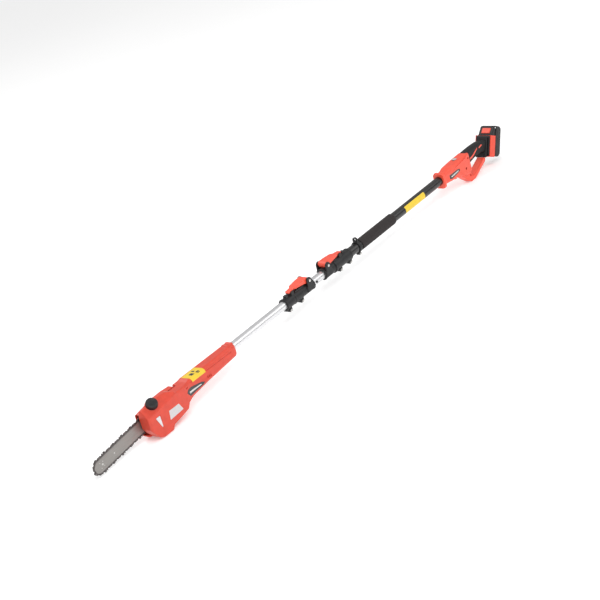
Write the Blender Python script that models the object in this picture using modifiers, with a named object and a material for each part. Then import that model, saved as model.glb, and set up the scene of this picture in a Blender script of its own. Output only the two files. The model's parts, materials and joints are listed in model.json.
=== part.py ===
"""Telescoping battery pole saw, modelled as separate named pieces.

Metres, +Z up. +X runs from the saw's tip to the battery, -Y is the tool's left side, and the
origin is on the surface the tool rests on, under the middle of its box. Inside the script,
positions are given along the pole ("u", zero at the rear end of the saw head), across it (y)
and up from the pole's axis (z); the empty "pole_frame" carries them to the world.
"""
import math

import bmesh
import bpy
from mathutils import Matrix, Vector

OBJECT_NAME = "telescoping_pole_saw"

# --- driving dimensions -------------------------------------------------------------------------
AXIS_HEIGHT = 0.0775        # pole axis above the surface
GAP = 0.0003                # clearance between pieces that touch
TIP_U = -0.6378             # front of the chain
BATTERY_END_U = 1.5094      # rear corner of the battery

TUBE_R = 0.014              # front and middle tubes
REAR_TUBE_R = 0.016
TUBE_WALL = 0.0012
FRONT_TUBE = (-0.125, 0.3185)
MIDDLE_TUBE = (0.3215, 1.200)
REAR_TUBE = (0.5285, 1.262)

HEAD_HALF = 0.034           # half width of the saw head block
HEAD_WALL = 0.0026
BAR_Y = 0.0115              # middle plane of the guide bar
BAR_TILT = math.radians(5.4)
BAR_HALF_WIDTH = 0.0190
BAR_THICK = 0.004
SPROCKET_AXIS = (-0.300, -0.013)   # (u, z) of the sprocket shaft and of the motor's height
MOTOR_R = 0.017
MOTOR_Y = -0.004            # the motor sits left of the middle plane, clear of the chain

COUPLING_U = (0.243, 0.386)
CLAMP_U = (0.446, 0.588)
COUPLING_LUGS = (0.046, 0.107)      # bolt lugs, from the lever pin
CLAMP_LUGS = (0.061, 0.114)
SNAP_U = 0.400
LEVER_HALF = 0.0158
EAR_PIN_Z = 0.0260

RING_U = 0.639
GRIP_U = (0.652, 0.842)
GRIP_R = 0.0195

BATTERY_TILT = math.radians(27.0)
BATTERY_ORIGIN = (1.4210, 0.0055)   # (u, z) of the battery's mating plane
BATTERY_HALF = 0.032
BATTERY_DEPTH = 0.069

SEGMENTS = 28


# --- scene, collections and frames --------------------------------------------------------------
for old in list(bpy.data.objects):
    bpy.data.objects.remove(old, do_unlink=True)


def make_collection(name):
    collection = bpy.data.collections.new(name)
    bpy.context.scene.collection.children.link(collection)
    return collection


PARTS = make_collection(OBJECT_NAME)
CUTTERS = make_collection(OBJECT_NAME + "_cutters")


def make_frame(name, location, parent=None, turn=(0.0, 0.0, 0.0)):
    """An empty that holds one moving body; its origin is on the body's joint axis."""
    empty = bpy.data.objects.new(name, None)
    empty.empty_display_size = 0.02
    PARTS.objects.link(empty)
    empty.location = location
    empty.rotation_euler = turn
    empty.parent = parent
    return empty


POLE_FRAME = make_frame("pole_frame", (-(TIP_U + BATTERY_END_U) / 2.0, 0.0, AXIS_HEIGHT))


def pivot(name, u, y, z):
    """A joint frame in pole coordinates."""
    return make_frame(name, (u, y, z), POLE_FRAME)


DOCK_FRAME = make_frame("battery_dock_frame", (BATTERY_ORIGIN[0], 0.0, BATTERY_ORIGIN[1]),
                        POLE_FRAME, (0.0, BATTERY_TILT, 0.0))

# --- materials ----------------------------------------------------------------------------------
FINISHES = {
    "orange_plastic": ((0.70, 0.065, 0.030), 0.42, 0.0),
    "black_plastic": ((0.020, 0.020, 0.021), 0.45, 0.0),
    "soft_black": ((0.028, 0.027, 0.027), 0.80, 0.0),
    "foam": ((0.045, 0.040, 0.040), 0.95, 0.0),
    "aluminium": ((0.78, 0.78, 0.77), 0.28, 1.0),
    "black_tube": ((0.012, 0.011, 0.011), 0.25, 0.0),
    "steel": ((0.42, 0.40, 0.38), 0.35, 1.0),
    "chain_steel": ((0.10, 0.09, 0.085), 0.45, 1.0),
    "copper_winding": ((0.55, 0.22, 0.10), 0.40, 1.0),
    "clear_plastic": ((0.80, 0.80, 0.78), 0.20, 0.0),
    "brass": ((0.62, 0.45, 0.18), 0.30, 1.0),
}


def make_material(node_name, finish):
    """A material of the node's own, with the finish's colour, roughness and metallic value."""
    colour, roughness, metallic = FINISHES[finish]
    material = bpy.data.materials.new(node_name + "_" + finish)
    material.use_nodes = True
    shader = material.node_tree.nodes["Principled BSDF"]
    shader.inputs["Base Color"].default_value = (*colour, 1.0)
    shader.inputs["Roughness"].default_value = roughness
    shader.inputs["Metallic"].default_value = metallic
    return material


# --- shape helpers ------------------------------------------------------------------------------
AXIS_TURN = {
    "X": Matrix.Rotation(math.pi / 2.0, 4, "Y"),
    "Y": Matrix.Rotation(-math.pi / 2.0, 4, "X"),
    "Z": Matrix.Identity(4),
}


def object_from_bmesh(name, shape):
    mesh = bpy.data.meshes.new(name)
    bmesh.ops.recalc_face_normals(shape, faces=shape.faces)
    shape.to_mesh(mesh)
    shape.free()
    made = bpy.data.objects.new(name, mesh)
    PARTS.objects.link(made)
    return made


def block(name, low, high):
    """A box between two corners."""
    shape = bmesh.new()
    bmesh.ops.create_cube(shape, size=1.0)
    size = Vector(high) - Vector(low)
    middle = (Vector(high) + Vector(low)) / 2.0
    bmesh.ops.transform(shape, matrix=Matrix.Translation(middle) @ Matrix.Diagonal((*size, 1.0)),
                        verts=shape.verts)
    return object_from_bmesh(name, shape)


def cone(name, axis, start, length, radius, end_radius=None, segments=SEGMENTS):
    """A cylinder or cone that runs from a point along +X, +Y or +Z."""
    shape = bmesh.new()
    bmesh.ops.create_cone(shape, cap_ends=True, segments=segments, radius1=radius,
                          radius2=radius if end_radius is None else end_radius, depth=length)
    move = Matrix.Translation(start) @ AXIS_TURN[axis] @ Matrix.Translation((0.0, 0.0, length / 2.0))
    bmesh.ops.transform(shape, matrix=move, verts=shape.verts)
    return object_from_bmesh(name, shape)


def turned(name, axis, start, profile, steps=SEGMENTS):
    """A closed (radius, height) profile turned once about X, Y or Z through the start point."""
    shape = bmesh.new()
    ring = [shape.verts.new((radius, 0.0, height)) for radius, height in profile]
    for first, second in zip(ring, ring[1:] + ring[:1]):
        shape.edges.new((first, second))
    mesh = bpy.data.meshes.new(name)
    shape.to_mesh(mesh)
    shape.free()
    made = bpy.data.objects.new(name, mesh)
    PARTS.objects.link(made)
    screw = made.modifiers.new("turn", "SCREW")
    screw.steps = steps
    screw.render_steps = steps
    screw.merge_threshold = 0.00001
    screw.use_merge_vertices = True
    made.matrix_world = Matrix.Translation(start) @ AXIS_TURN[axis]
    return made


def pipe(name, axis, start, length, outer, inner, steps=SEGMENTS):
    """A round tube, open at both ends."""
    return turned(name, axis, start, [(inner, 0.0), (inner, length), (outer, length), (outer, 0.0)],
                  steps)


def outline(name, points, low, high, plane="XZ"):
    """A flat outline in the XZ, XY or YZ plane, given a thickness from low to high."""
    curve = bpy.data.curves.new(name, "CURVE")
    curve.dimensions = "2D"
    curve.fill_mode = "BOTH"
    curve.extrude = (high - low) / 2.0
    spline = curve.splines.new("POLY")
    spline.points.add(len(points) - 1)
    for point, place in zip(spline.points, points):
        point.co = (place[0], place[1], 0.0, 1.0)
    spline.use_cyclic_u = True
    drawn = bpy.data.objects.new(name + "_drawn", curve)
    PARTS.objects.link(drawn)
    bpy.context.view_layer.update()
    evaluated = drawn.evaluated_get(bpy.context.evaluated_depsgraph_get())
    mesh = bpy.data.meshes.new_from_object(evaluated)
    bpy.data.objects.remove(drawn, do_unlink=True)
    shape = bmesh.new()
    shape.from_mesh(mesh)
    bpy.data.meshes.remove(mesh)
    bmesh.ops.remove_doubles(shape, verts=shape.verts, dist=0.00001)
    bmesh.ops.dissolve_limit(shape, angle_limit=0.001, verts=shape.verts, edges=shape.edges)
    middle = (low + high) / 2.0
    lay = {
        "XZ": Matrix(((1, 0, 0, 0), (0, 0, 1, middle), (0, 1, 0, 0), (0, 0, 0, 1))),
        "XY": Matrix(((1, 0, 0, 0), (0, 1, 0, 0), (0, 0, 1, middle), (0, 0, 0, 1))),
        "YZ": Matrix(((0, 0, 1, middle), (1, 0, 0, 0), (0, 1, 0, 0), (0, 0, 0, 1))),
    }[plane]
    bmesh.ops.transform(shape, matrix=lay, verts=shape.verts)
    return object_from_bmesh(name, shape)


def combine(target, operand, operation):
    """Cut, join or keep what is common, with the operand moved to the cutters."""
    for collection in list(operand.users_collection):
        collection.objects.unlink(operand)
    CUTTERS.objects.link(operand)
    operand.hide_render = True
    operand.display_type = "WIRE"
    change = target.modifiers.new(operation.lower(), "BOOLEAN")
    change.operation = operation
    change.object = operand
    change.solver = "EXACT"
    target["operands"] = list(target.get("operands", [])) + [operand.name]
    return target


def cut(target, *operands):
    for operand in operands:
        combine(target, operand, "DIFFERENCE")
    return target


def join(target, *operands):
    for operand in operands:
        combine(target, operand, "UNION")
    return target


def keep(target, operand):
    return combine(target, operand, "INTERSECT")


def soften(target, width, segments=1, angle=35.0):
    """Round or chamfer the edges sharper than an angle."""
    bevel = target.modifiers.new("soften", "BEVEL")
    bevel.width = width
    bevel.segments = segments
    bevel.limit_method = "ANGLE"
    bevel.angle_limit = math.radians(angle)
    return target


def operand_tree(target):
    """Every cutter below an object, each one once."""
    found = []
    for name in target.get("operands", []):
        operand = bpy.data.objects[name]
        found.append(operand)
        found.extend(operand_tree(operand))
    return found


def place(target, frame, finish):
    """Give a finished piece its material and hang it, with its cutters, on its body's frame."""
    target.data.materials.append(make_material(target.name, finish))
    target.data.shade_smooth()
    target.data.set_sharp_from_angle(angle=math.radians(35.0))
    fixed = frame in (POLE_FRAME, DOCK_FRAME)
    turn = Matrix.Identity(4) if fixed else frame.matrix_basis.inverted()
    for piece in {target, *operand_tree(target)}:
        own = Matrix(piece.matrix_basis)
        piece.parent = frame
        piece.matrix_basis = turn @ own
    return target


def rounded_section(section, corner_steps=3):
    """Points of a rounded rectangle across the pole: (u, y_low, y_high, z_low, z_high, radius)."""
    u, y_low, y_high, z_low, z_high, radius = section
    corners = [(y_high - radius, z_high - radius, 0.0), (y_low + radius, z_high - radius, 90.0),
               (y_low + radius, z_low + radius, 180.0), (y_high - radius, z_low + radius, 270.0)]
    points = []
    for y, z, first in corners:
        for step in range(corner_steps + 1):
            angle = math.radians(first + 90.0 * step / corner_steps)
            points.append(Vector((u, y + radius * math.cos(angle), z + radius * math.sin(angle))))
    return points


def loft(name, sections):
    """A closed skin over rounded rectangles that follow each other along the pole."""
    shape = bmesh.new()
    rings = [[shape.verts.new(point) for point in rounded_section(section)] for section in sections]
    for front, rear in zip(rings, rings[1:]):
        for index in range(len(front)):
            after = (index + 1) % len(front)
            shape.faces.new((front[index], front[after], rear[after], rear[index]))
    shape.faces.new(rings[0])
    shape.faces.new(reversed(rings[-1]))
    return object_from_bmesh(name, shape)


def shrink(sections, wall):
    """The same sections, moved in by a wall's thickness."""
    inner = [[u, y_low + wall, y_high - wall, z_low + wall, z_high - wall, max(radius - wall, 0.001)]
             for u, y_low, y_high, z_low, z_high, radius in sections]
    inner[0][0] += wall
    inner[-1][0] -= wall
    return inner


def half(name, sections, wall, side):
    """One half of a hollow moulding split along the middle plane; side is -1 (left) or +1."""
    shell = loft(name, sections)
    cut(shell, loft(name + "_hollow", shrink(sections, wall)))
    inner_y, outer_y = side * GAP / 2.0, side * 0.2
    keep(shell, block(name + "_side", (-0.7, min(inner_y, outer_y), -0.2),
                      (1.6, max(inner_y, outer_y), 0.2)))
    return shell


def mirrored(half_outline):
    """Close an outline that is given on one side of the first coordinate's axis."""
    return half_outline + [(-across, up) for across, up in reversed(half_outline)]


def gear_points(teeth, root, tip, middle=(0.0, 0.0)):
    """A toothed wheel's outline; each tooth is a trapezium."""
    points = []
    for tooth in range(teeth):
        for radius, part in ((root, 0.05), (tip, 0.35), (tip, 0.65), (root, 0.95)):
            angle = 2.0 * math.pi * (tooth + part) / teeth
            points.append((middle[0] + radius * math.cos(angle), middle[1] + radius * math.sin(angle)))
    return points


def arc(centre, radius, first, last, steps):
    """Points on an arc, with angles in degrees from the first coordinate's axis."""
    angles = [math.radians(first + (last - first) * step / steps) for step in range(steps + 1)]
    return [(centre[0] + radius * math.cos(a), centre[1] + radius * math.sin(a)) for a in angles]


# --- saw head -----------------------------------------------------------------------------------
# Sections: (u, y_low, y_high, z_low, z_high, corner radius).
HEAD_SECTIONS = [
    (-0.4300, -0.0300, 0.0060, -0.0330, 0.0060, 0.0040),
    (-0.4240, -HEAD_HALF, 0.0060, -0.0460, 0.0240, 0.0050),
    (-0.4060, -HEAD_HALF, 0.0060, -0.0700, 0.0270, 0.0055),
    (-0.3900, -HEAD_HALF, 0.0060, -AXIS_HEIGHT, 0.0290, 0.0055),
    (-0.3530, -HEAD_HALF, 0.0060, -AXIS_HEIGHT, 0.0310, 0.0055),
    (-0.3440, -HEAD_HALF, 0.0060, -0.0655, 0.0310, 0.0055),
    (-0.3250, -HEAD_HALF, 0.0060, -0.0630, 0.0300, 0.0055),
    (-0.3080, -0.0337, 0.0060, -0.0605, 0.0240, 0.0055),
    (-0.3000, -0.0334, 0.0060, -0.0595, 0.0170, 0.0055),
    (-0.2720, -0.0305, 0.0060, -0.0560, 0.0155, 0.0055),
    (-0.2640, -0.0297, 0.0060, -0.0460, 0.0151, 0.0055),
    (-0.2625, -0.0292, 0.0235, -0.0435, 0.0150, 0.0060),
    (-0.2440, -0.0265, 0.0245, -0.0395, 0.0150, 0.0090),
    (-0.2300, -0.0245, 0.0245, -0.0380, 0.0180, 0.0100),
    (-0.1570, -0.0235, 0.0235, -0.0315, 0.0178, 0.0105),
    (-0.0260, -0.0215, 0.0215, -0.0250, 0.0174, 0.0110),
    (-0.0200, -0.0195, 0.0195, -0.0225, 0.0158, 0.0110),
]
CAP_POINT = Vector((-0.385, -0.012, 0.0235))       # centre of the filler hole, on the sloping deck
DECK_NORMAL = Vector((-0.114, -0.65, 1.0)).normalized()
DECK_TURN = Vector((0.0, 0.0, 1.0)).rotation_difference(DECK_NORMAL)
FILLER_R = 0.0095
CAP_R = 0.0185
CAP_TALL = 0.0135

# Joint frames of the head's pieces.
HEAD_FRAME = pivot("head_frame", 0.0, 0.0, 0.0)
DRIVE_FRAME = pivot("drive_frame", SPROCKET_AXIS[0], 0.0, SPROCKET_AXIS[1])
ROTOR_FRAME = pivot("rotor_frame", -0.205, MOTOR_Y, SPROCKET_AXIS[1])
CAP_FRAME = make_frame("oil_cap_frame", CAP_POINT, POLE_FRAME, DECK_TURN.to_euler())


def on_deck(target):
    """Move a shape made about the Z axis onto the filler hole's axis."""
    target.matrix_basis = Matrix.Translation(CAP_POINT) @ DECK_TURN.to_matrix().to_4x4() @ \
        target.matrix_basis
    return target


def along_bar(distance, across=0.0):
    """A place on the bar's middle line, measured forward from the sprocket's axis."""
    return (SPROCKET_AXIS[0] - distance * math.cos(BAR_TILT) - across * math.sin(BAR_TILT),
            SPROCKET_AXIS[1] - distance * math.sin(BAR_TILT) + across * math.cos(BAR_TILT))


def stadium(near, far, radius, steps=10):
    """An outline round two equal circles on the bar's middle line."""
    points = []
    for centre, first in ((along_bar(far), 90.0), (along_bar(near), -90.0)):
        tilt = math.degrees(BAR_TILT)
        points += arc(centre, radius, first + tilt, first + tilt + 180.0, steps)
    return points


NOSE_DISTANCE = 0.3118
STUD_DISTANCES = (0.052, 0.078)
CHAIN_HEIGHT = 0.0082


def build_head_shells():
    for name, side in (("head_shell_left", -1), ("head_shell_right", 1)):
        shell = half(name, HEAD_SECTIONS, HEAD_WALL, side)
        cut(shell, cone(name + "_tube_hole", "X", (-0.040, 0.0, 0.0), 0.06, TUBE_R + GAP))
        if side < 0:
            above = block(name + "_above_deck", (-0.075, -0.06, 0.0), (0.078, 0.045, 0.05))
            under = block(name + "_under_deck", (-0.034, -0.0185, -HEAD_WALL), (0.045, 0.009, 0.002))
            filler = cone(name + "_filler_hole", "Z", (0.0, 0.0, -0.04), 0.08, FILLER_R + GAP)
            boss = pipe(name + "_bearing_boss", "Y", (SPROCKET_AXIS[0], -0.0325, SPROCKET_AXIS[1]),
                        0.0110, 0.0105, 0.0083)
            window = block(name + "_window_hole", (-0.4035, -0.05, -0.044), (-0.3855, -0.028, -0.008))
            join(shell, on_deck(under))
            cut(shell, on_deck(above), on_deck(filler), window)
            join(shell, boss)
        else:
            for distance in STUD_DISTANCES:
                u, z = along_bar(distance)
                cut(shell, cone(name + "_stud_hole", "Y", (u, 0.001, z), 0.01, 0.0033))
            cut(shell, cone(name + "_bearing_hole", "Y", (SPROCKET_AXIS[0], 0.001, SPROCKET_AXIS[1]),
                            0.01, 0.0083))
            join(shell, block(name + "_shoulder_wall", (-0.2640, 0.0030, -0.0400),
                              (-0.2612, 0.0215, 0.0130)))
        place(shell, HEAD_FRAME, "orange_plastic")


def build_bar_and_chain():
    bar = outline("guide_bar", stadium(0.043, NOSE_DISTANCE, BAR_HALF_WIDTH),
                  BAR_Y - BAR_THICK / 2.0, BAR_Y + BAR_THICK / 2.0)
    slot = outline("bar_slot", stadium(STUD_DISTANCES[0] - 0.004, STUD_DISTANCES[1] + 0.004, 0.0034, 5),
                   0.0, 0.03)
    place(cut(bar, slot), HEAD_FRAME, "steel")
    chain = outline("saw_chain", stadium(0.0, NOSE_DISTANCE, BAR_HALF_WIDTH + GAP + CHAIN_HEIGHT, 12),
                    BAR_Y - 0.003, BAR_Y + 0.003)
    inside = outline("chain_inside", stadium(0.0, NOSE_DISTANCE, BAR_HALF_WIDTH + GAP, 12), 0.0, 0.03)
    place(cut(chain, inside), HEAD_FRAME, "chain_steel")
    for name, distance in zip(("rear", "front"), STUD_DISTANCES):
        u, z = along_bar(distance)
        stud = cone("bar_stud_" + name, "Y", (u, 0.0020, z), 0.0330, 0.0030, segments=16)
        join(stud, cone("stud_head_" + name, "Y", (u, 0.0005, z), 0.0025, 0.0050, segments=16))
        place(stud, HEAD_FRAME, "steel")
        nut = cone("bar_nut_" + name, "Y", (u, 0.0308, z), 0.0055, 0.0068, segments=6)
        cut(nut, cone("nut_bore_" + name, "Y", (u, 0.0300, z), 0.0080, 0.0033, segments=16))
        place(nut, HEAD_FRAME, "steel")


def build_sprocket_cover():
    outer = [(-0.4240, 0.0070), (-0.3500, 0.0180), (-0.3100, 0.0184), (-0.2720, 0.0154),
             (-0.2650, 0.0060), (-0.2650, -0.0330), (-0.2750, -0.0480), (-0.3450, -0.0650),
             (-0.3540, -AXIS_HEIGHT), (-0.3900, -AXIS_HEIGHT), (-0.4150, -0.0700), (-0.4240, -0.0580)]
    inner = [(-0.4400, 0.0040), (-0.3500, 0.0155), (-0.3100, 0.0160), (-0.2735, 0.0130),
             (-0.2680, 0.0050), (-0.2680, -0.0320), (-0.2765, -0.0455), (-0.3440, -0.0580),
             (-0.3940, -0.0660), (-0.4170, -0.0610), (-0.4400, -0.0530)]
    cover = soften(outline("sprocket_cover", outer, 0.0063, 0.0305), 0.004, 2)
    cut(cover, outline("cover_hollow", inner, 0.0, 0.0280))
    for name, distance in zip(("rear", "front"), STUD_DISTANCES):
        u, z = along_bar(distance)
        cut(cover, cone("cover_hole_" + name, "Y", (u, 0.02, z), 0.02, 0.0033, segments=16))
    place(cover, HEAD_FRAME, "orange_plastic")


def build_drive():
    u, z = SPROCKET_AXIS
    shaft = cone("sprocket_shaft", "Y", (u, -0.0300, z), 0.0500, 0.0040, segments=20)
    place(shaft, DRIVE_FRAME, "steel")
    for name, start, length in (("inner", -0.0290, 0.0060), ("outer", 0.0005, 0.0055)):
        ring = pipe("sprocket_bearing_" + name, "Y", (u, start, z), length, 0.0080, 0.0043, 20)
        place(ring, HEAD_FRAME, "steel")
    wheel = outline("bevel_wheel", gear_points(24, 0.0215, 0.0240, SPROCKET_AXIS), -0.0180, -0.0107)
    cut(wheel, cone("wheel_dish", "Y", (u, -0.0140, z), 0.01, 0.0120),
        cone("wheel_bore", "Y", (u, -0.03, z), 0.05, 0.0043, segments=20))
    place(wheel, DRIVE_FRAME, "steel")
    sprocket = outline("chain_sprocket", gear_points(6, 0.0135, 0.0170, SPROCKET_AXIS),
                       BAR_Y - 0.0025, BAR_Y + 0.0025)
    cut(sprocket, cone("sprocket_bore", "Y", (u, 0.0, z), 0.05, 0.0043, segments=20))
    place(sprocket, DRIVE_FRAME, "steel")

    can = turned("motor_can", "X", (-0.2350, MOTOR_Y, z),
                 [(0.0030, 0.0), (0.0030, 0.0025), (MOTOR_R - 0.0015, 0.0025),
                  (MOTOR_R - 0.0015, 0.0545), (0.0030, 0.0545), (0.0030, 0.0570),
                  (MOTOR_R, 0.0570), (MOTOR_R, 0.0)])
    place(can, HEAD_FRAME, "steel")
    rotor = cone("motor_rotor", "X", (-0.2870, MOTOR_Y, z), 0.1120, 0.0020, segments=16)
    join(rotor, outline("rotor_core", gear_points(8, 0.0105, 0.0130, (MOTOR_Y, z)),
                        -0.2250, -0.1870, "YZ"))
    place(rotor, ROTOR_FRAME, "copper_winding")
    pinion = outline("bevel_pinion", gear_points(8, 0.0045, 0.0064, (MOTOR_Y, z)),
                     -0.2870, -0.2745, "YZ")
    cut(pinion, cone("pinion_bore", "X", (-0.30, MOTOR_Y, z), 0.05, 0.0023, segments=16))
    place(pinion, ROTOR_FRAME, "steel")


def build_oil_system():
    tank = block("oil_tank", (-0.4120, -0.0300, -0.0560), (-0.3450, -0.0010, 0.0020))
    soften(tank, 0.004, 2)
    riser_u, riser_y = CAP_POINT[0], CAP_POINT[1] + 0.0040
    join(tank, cone("tank_riser", "Z", (riser_u, riser_y, 0.0000), 0.0145, FILLER_R + 0.001, segments=24),
         on_deck(cone("tank_neck", "Z", (0.0, 0.0, -0.0120), 0.0115, FILLER_R, segments=24)))
    cut(tank, block("tank_hollow", (-0.4100, -0.0280, -0.0540), (-0.3470, -0.0030, 0.0000)),
        cone("riser_bore", "Z", (riser_u, riser_y, -0.0100), 0.0200, FILLER_R - 0.0014, segments=24),
        on_deck(cone("neck_bore", "Z", (0.0, 0.0, -0.0118), 0.0300, FILLER_R - 0.0018, segments=24)))
    place(tank, HEAD_FRAME, "clear_plastic")
    window = outline("oil_window", [(-0.4030, -0.0085), (-0.3860, -0.0085), (-0.3868, -0.0435),
                                    (-0.3895, -0.0435)], -0.0340, -0.0305)
    place(window, HEAD_FRAME, "clear_plastic")
    cap = on_deck(turned("oil_cap", "Z", (0.0, 0.0, 0.0),
                         [(0.0040, 0.0008), (0.0040, CAP_TALL - 0.002), (0.0100, CAP_TALL),
                          (CAP_R - 0.001, CAP_TALL), (CAP_R, CAP_TALL - 0.001), (CAP_R, 0.0008)]))
    place(cap, CAP_FRAME, "black_plastic")
    plug = on_deck(cone("oil_cap_plug", "Z", (0.0, 0.0, -0.0105), 0.0200, 0.0036, segments=20))
    join(plug, on_deck(cone("plug_thread", "Z", (0.0, 0.0, -0.0108), 0.0100, FILLER_R - 0.0021,
                            segments=24)))
    place(plug, CAP_FRAME, "black_plastic")


build_head_shells()
build_bar_and_chain()
build_sprocket_cover()
build_drive()
build_oil_system()


# --- tubes, coupling, clamp, strap ring and foam grip -------------------------------------------
POLE_SLIDE_FRAME = pivot("pole_slide_frame", MIDDLE_TUBE[0], 0.0, 0.0)
SNAP_FRAME = pivot("snap_button_frame", SNAP_U, -TUBE_R, 0.0)
COUPLING_PIN_U = COUPLING_U[1] - 0.025
CLAMP_PIN_U = CLAMP_U[0] + 0.016
COUPLING_LEVER_FRAME = pivot("coupling_lever_frame", COUPLING_PIN_U, 0.0, EAR_PIN_Z)
CLAMP_LEVER_FRAME = pivot("clamp_lever_frame", CLAMP_PIN_U, 0.0, EAR_PIN_Z)
PIN_R = 0.0025


def build_tubes():
    for name, ends, radius, frame, finish in (
            ("front_tube", FRONT_TUBE, TUBE_R, HEAD_FRAME, "aluminium"),
            ("middle_tube", MIDDLE_TUBE, TUBE_R, POLE_SLIDE_FRAME, "aluminium"),
            ("rear_tube", REAR_TUBE, REAR_TUBE_R, POLE_FRAME, "black_tube")):
        tube = pipe(name, "X", (ends[0], 0.0, 0.0), ends[1] - ends[0], radius, radius - TUBE_WALL)
        if name == "middle_tube":
            cut(tube, cone("button_hole", "Y", (SNAP_U, -0.03, 0.0), 0.03, 0.0046, segments=20))
        place(tube, frame, finish)
    button = cone("snap_button", "Y", (SNAP_U, -0.0165, 0.0), 0.0070, 0.0042, segments=20)
    join(button, cone("button_flange", "Y", (SNAP_U, -0.0110, 0.0), 0.0015, 0.0060, segments=20))
    place(button, SNAP_FRAME, "black_plastic")
    spring = turned("snap_spring", "X", (SNAP_U - 0.006, 0.0, 0.0),
                    [(0.0105, 0.0), (0.0105, 0.012), (0.0125, 0.012), (0.0125, 0.0)], 24)
    cut(spring, block("spring_gap", (SNAP_U - 0.02, -0.02, -0.0150), (SNAP_U + 0.02, -0.0085, 0.0150)))
    place(spring, POLE_SLIDE_FRAME, "steel")


def clamp_shape(name, pin_u, facing, collar, lugs):
    """A clamp body round the pole: collars, ears for the lever's pin, hook and bolt lugs.

    facing is +1 where the lever reaches towards +X from its pin, -1 where it reaches towards -X.
    collar holds (first u, second u, outer radius) for each end of the body.
    """
    first, second = collar
    ears = []
    for side in (-1, 1):
        y = sorted((side * (LEVER_HALF + 0.0010), side * (LEVER_HALF + 0.0055)))
        ear = outline(name + "_ear", [(pin_u - 0.016, 0.0), (pin_u - 0.0115, EAR_PIN_Z)] +
                      arc((pin_u, EAR_PIN_Z), 0.0115, 170.0, 10.0, 8) + [(pin_u + 0.016, 0.0)],
                      y[0], y[1])
        ears.append(ear)
    shape = cone(name, "X", (first[0], 0.0, 0.0), first[1] - first[0], first[2])
    join(shape, cone(name + "_rear", "X", (second[0], 0.0, 0.0), second[1] - second[0], second[2]))
    low = block(name + "_ear_root", (pin_u - 0.016, -LEVER_HALF - 0.0055, -0.008),
                (pin_u + 0.016, LEVER_HALF + 0.0055, 0.010))
    saddle_u = sorted((pin_u + facing * 0.014, pin_u + facing * 0.062))
    saddle = block(name + "_saddle", (saddle_u[0], -0.010, 0.008), (saddle_u[1], 0.010, 0.0212))
    top_u = sorted((pin_u + facing * 0.094, pin_u + facing * 0.106))
    top_lug = block(name + "_top_lug", (top_u[0], -0.0060, 0.010), (top_u[1], 0.0060, 0.0250))
    join(shape, low, *ears, saddle, soften(top_lug, 0.0015))
    for u in (pin_u + facing * offset for offset in lugs):
        join(shape, outline(name + "_lug", [(u - 0.009, -0.005), (u - 0.009, -0.0225),
                                            (u - 0.005, -0.0265), (u + 0.005, -0.0265),
                                            (u + 0.009, -0.0225), (u + 0.009, -0.005)],
                            -0.0135, 0.0135))
    return shape


def finish_clamp(shape, pin_u, facing, bores, frame, lugs):
    """Bore a clamp body, split it underneath and drill it for its pin and bolts."""
    name = shape.name
    for index, (low, high, radius) in enumerate(bores):
        cut(shape, cone(name + "_bore_%d" % index, "X", (low, 0.0, 0.0), high - low, radius))
    split = sorted((pin_u + facing * 0.026, pin_u + facing * 0.150))
    cut(shape, block(name + "_split", (split[0], -0.0012, -0.05), (split[1], 0.0012, -0.005)))
    cut(shape, cone(name + "_pin_hole", "Y", (pin_u, -0.04, EAR_PIN_Z), 0.08, PIN_R + GAP, segments=16))
    for index, u in enumerate(pin_u + facing * offset for offset in lugs):
        cut(shape, cone(name + "_bolt_hole", "Y", (u, -0.03, -0.0218), 0.06, 0.0024, segments=12))
        bolt = cone("%s_bolt_%d" % (name.split("_")[0], index + 1), "Y", (u, -0.0150, -0.0218),
                    0.0300, 0.0020, segments=12)
        join(bolt, cone(name + "_bolt_head", "Y", (u, -0.0172, -0.0218), 0.0034, 0.0040, segments=12),
             cone(name + "_bolt_end", "Y", (u, 0.0138, -0.0218), 0.0034, 0.0040, segments=6))
        place(bolt, frame, "steel")
    place(shape, frame, "black_plastic")
    pin = cone(name.split("_")[0] + "_lever_pin", "Y", (pin_u, -0.0230, EAR_PIN_Z), 0.0460, PIN_R,
               segments=16)
    join(pin, cone(name + "_pin_head", "Y", (pin_u, -0.0248, EAR_PIN_Z), 0.0030, 0.0046, segments=16))
    place(pin, frame, "steel")


def build_lever(name, pin_u, facing, frame):
    """The wide locking lever: a cam at its pin, a broad plate and a narrow tongue."""
    heights = [(-0.0065, 0.0030), (-0.0050, 0.0085), (0.0020, 0.0125), (0.0250, 0.0118), (0.0580, 0.0085),
               (0.0900, 0.0040), (0.0900, -0.0005), (0.0560, 0.0030), (0.0200, -0.0020),
               (0.0060, -0.0062), (-0.0040, -0.0060)]
    side = [(pin_u + facing * along, EAR_PIN_Z + up) for along, up in heights]
    lever = outline(name, side, -LEVER_HALF, LEVER_HALF)
    narrow = sorted((pin_u + facing * 0.063, pin_u + facing * 0.100))
    for y in ((-0.03, -0.0085), (0.0085, 0.03)):
        cut(lever, block(name + "_waist", (narrow[0], y[0], 0.0), (narrow[1], y[1], 0.06)))
    channel = sorted((pin_u + facing * 0.013, pin_u + facing * 0.059))
    cut(lever, block(name + "_under", (channel[0], -LEVER_HALF + 0.003, 0.0),
                     (channel[1], LEVER_HALF - 0.003, EAR_PIN_Z + 0.0030)),
        cone(name + "_pin_bore", "Y", (pin_u, -0.03, EAR_PIN_Z), 0.06, PIN_R + GAP, segments=16))
    place(lever, frame, "orange_plastic")


def build_hook(name, pin_u, facing):
    """The U shaped catch that the lever's tongue rests in."""
    low, high = sorted((pin_u + facing * 0.071, pin_u + facing * 0.083))
    hook = block(name, (low, -0.0120, 0.0105), (high, 0.0120, EAR_PIN_Z + 0.0035))
    cut(hook, block(name + "_gap", (low - 0.01, -0.0090, EAR_PIN_Z - 0.0030),
                    (high + 0.01, 0.0090, 0.06)))
    return hook


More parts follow.
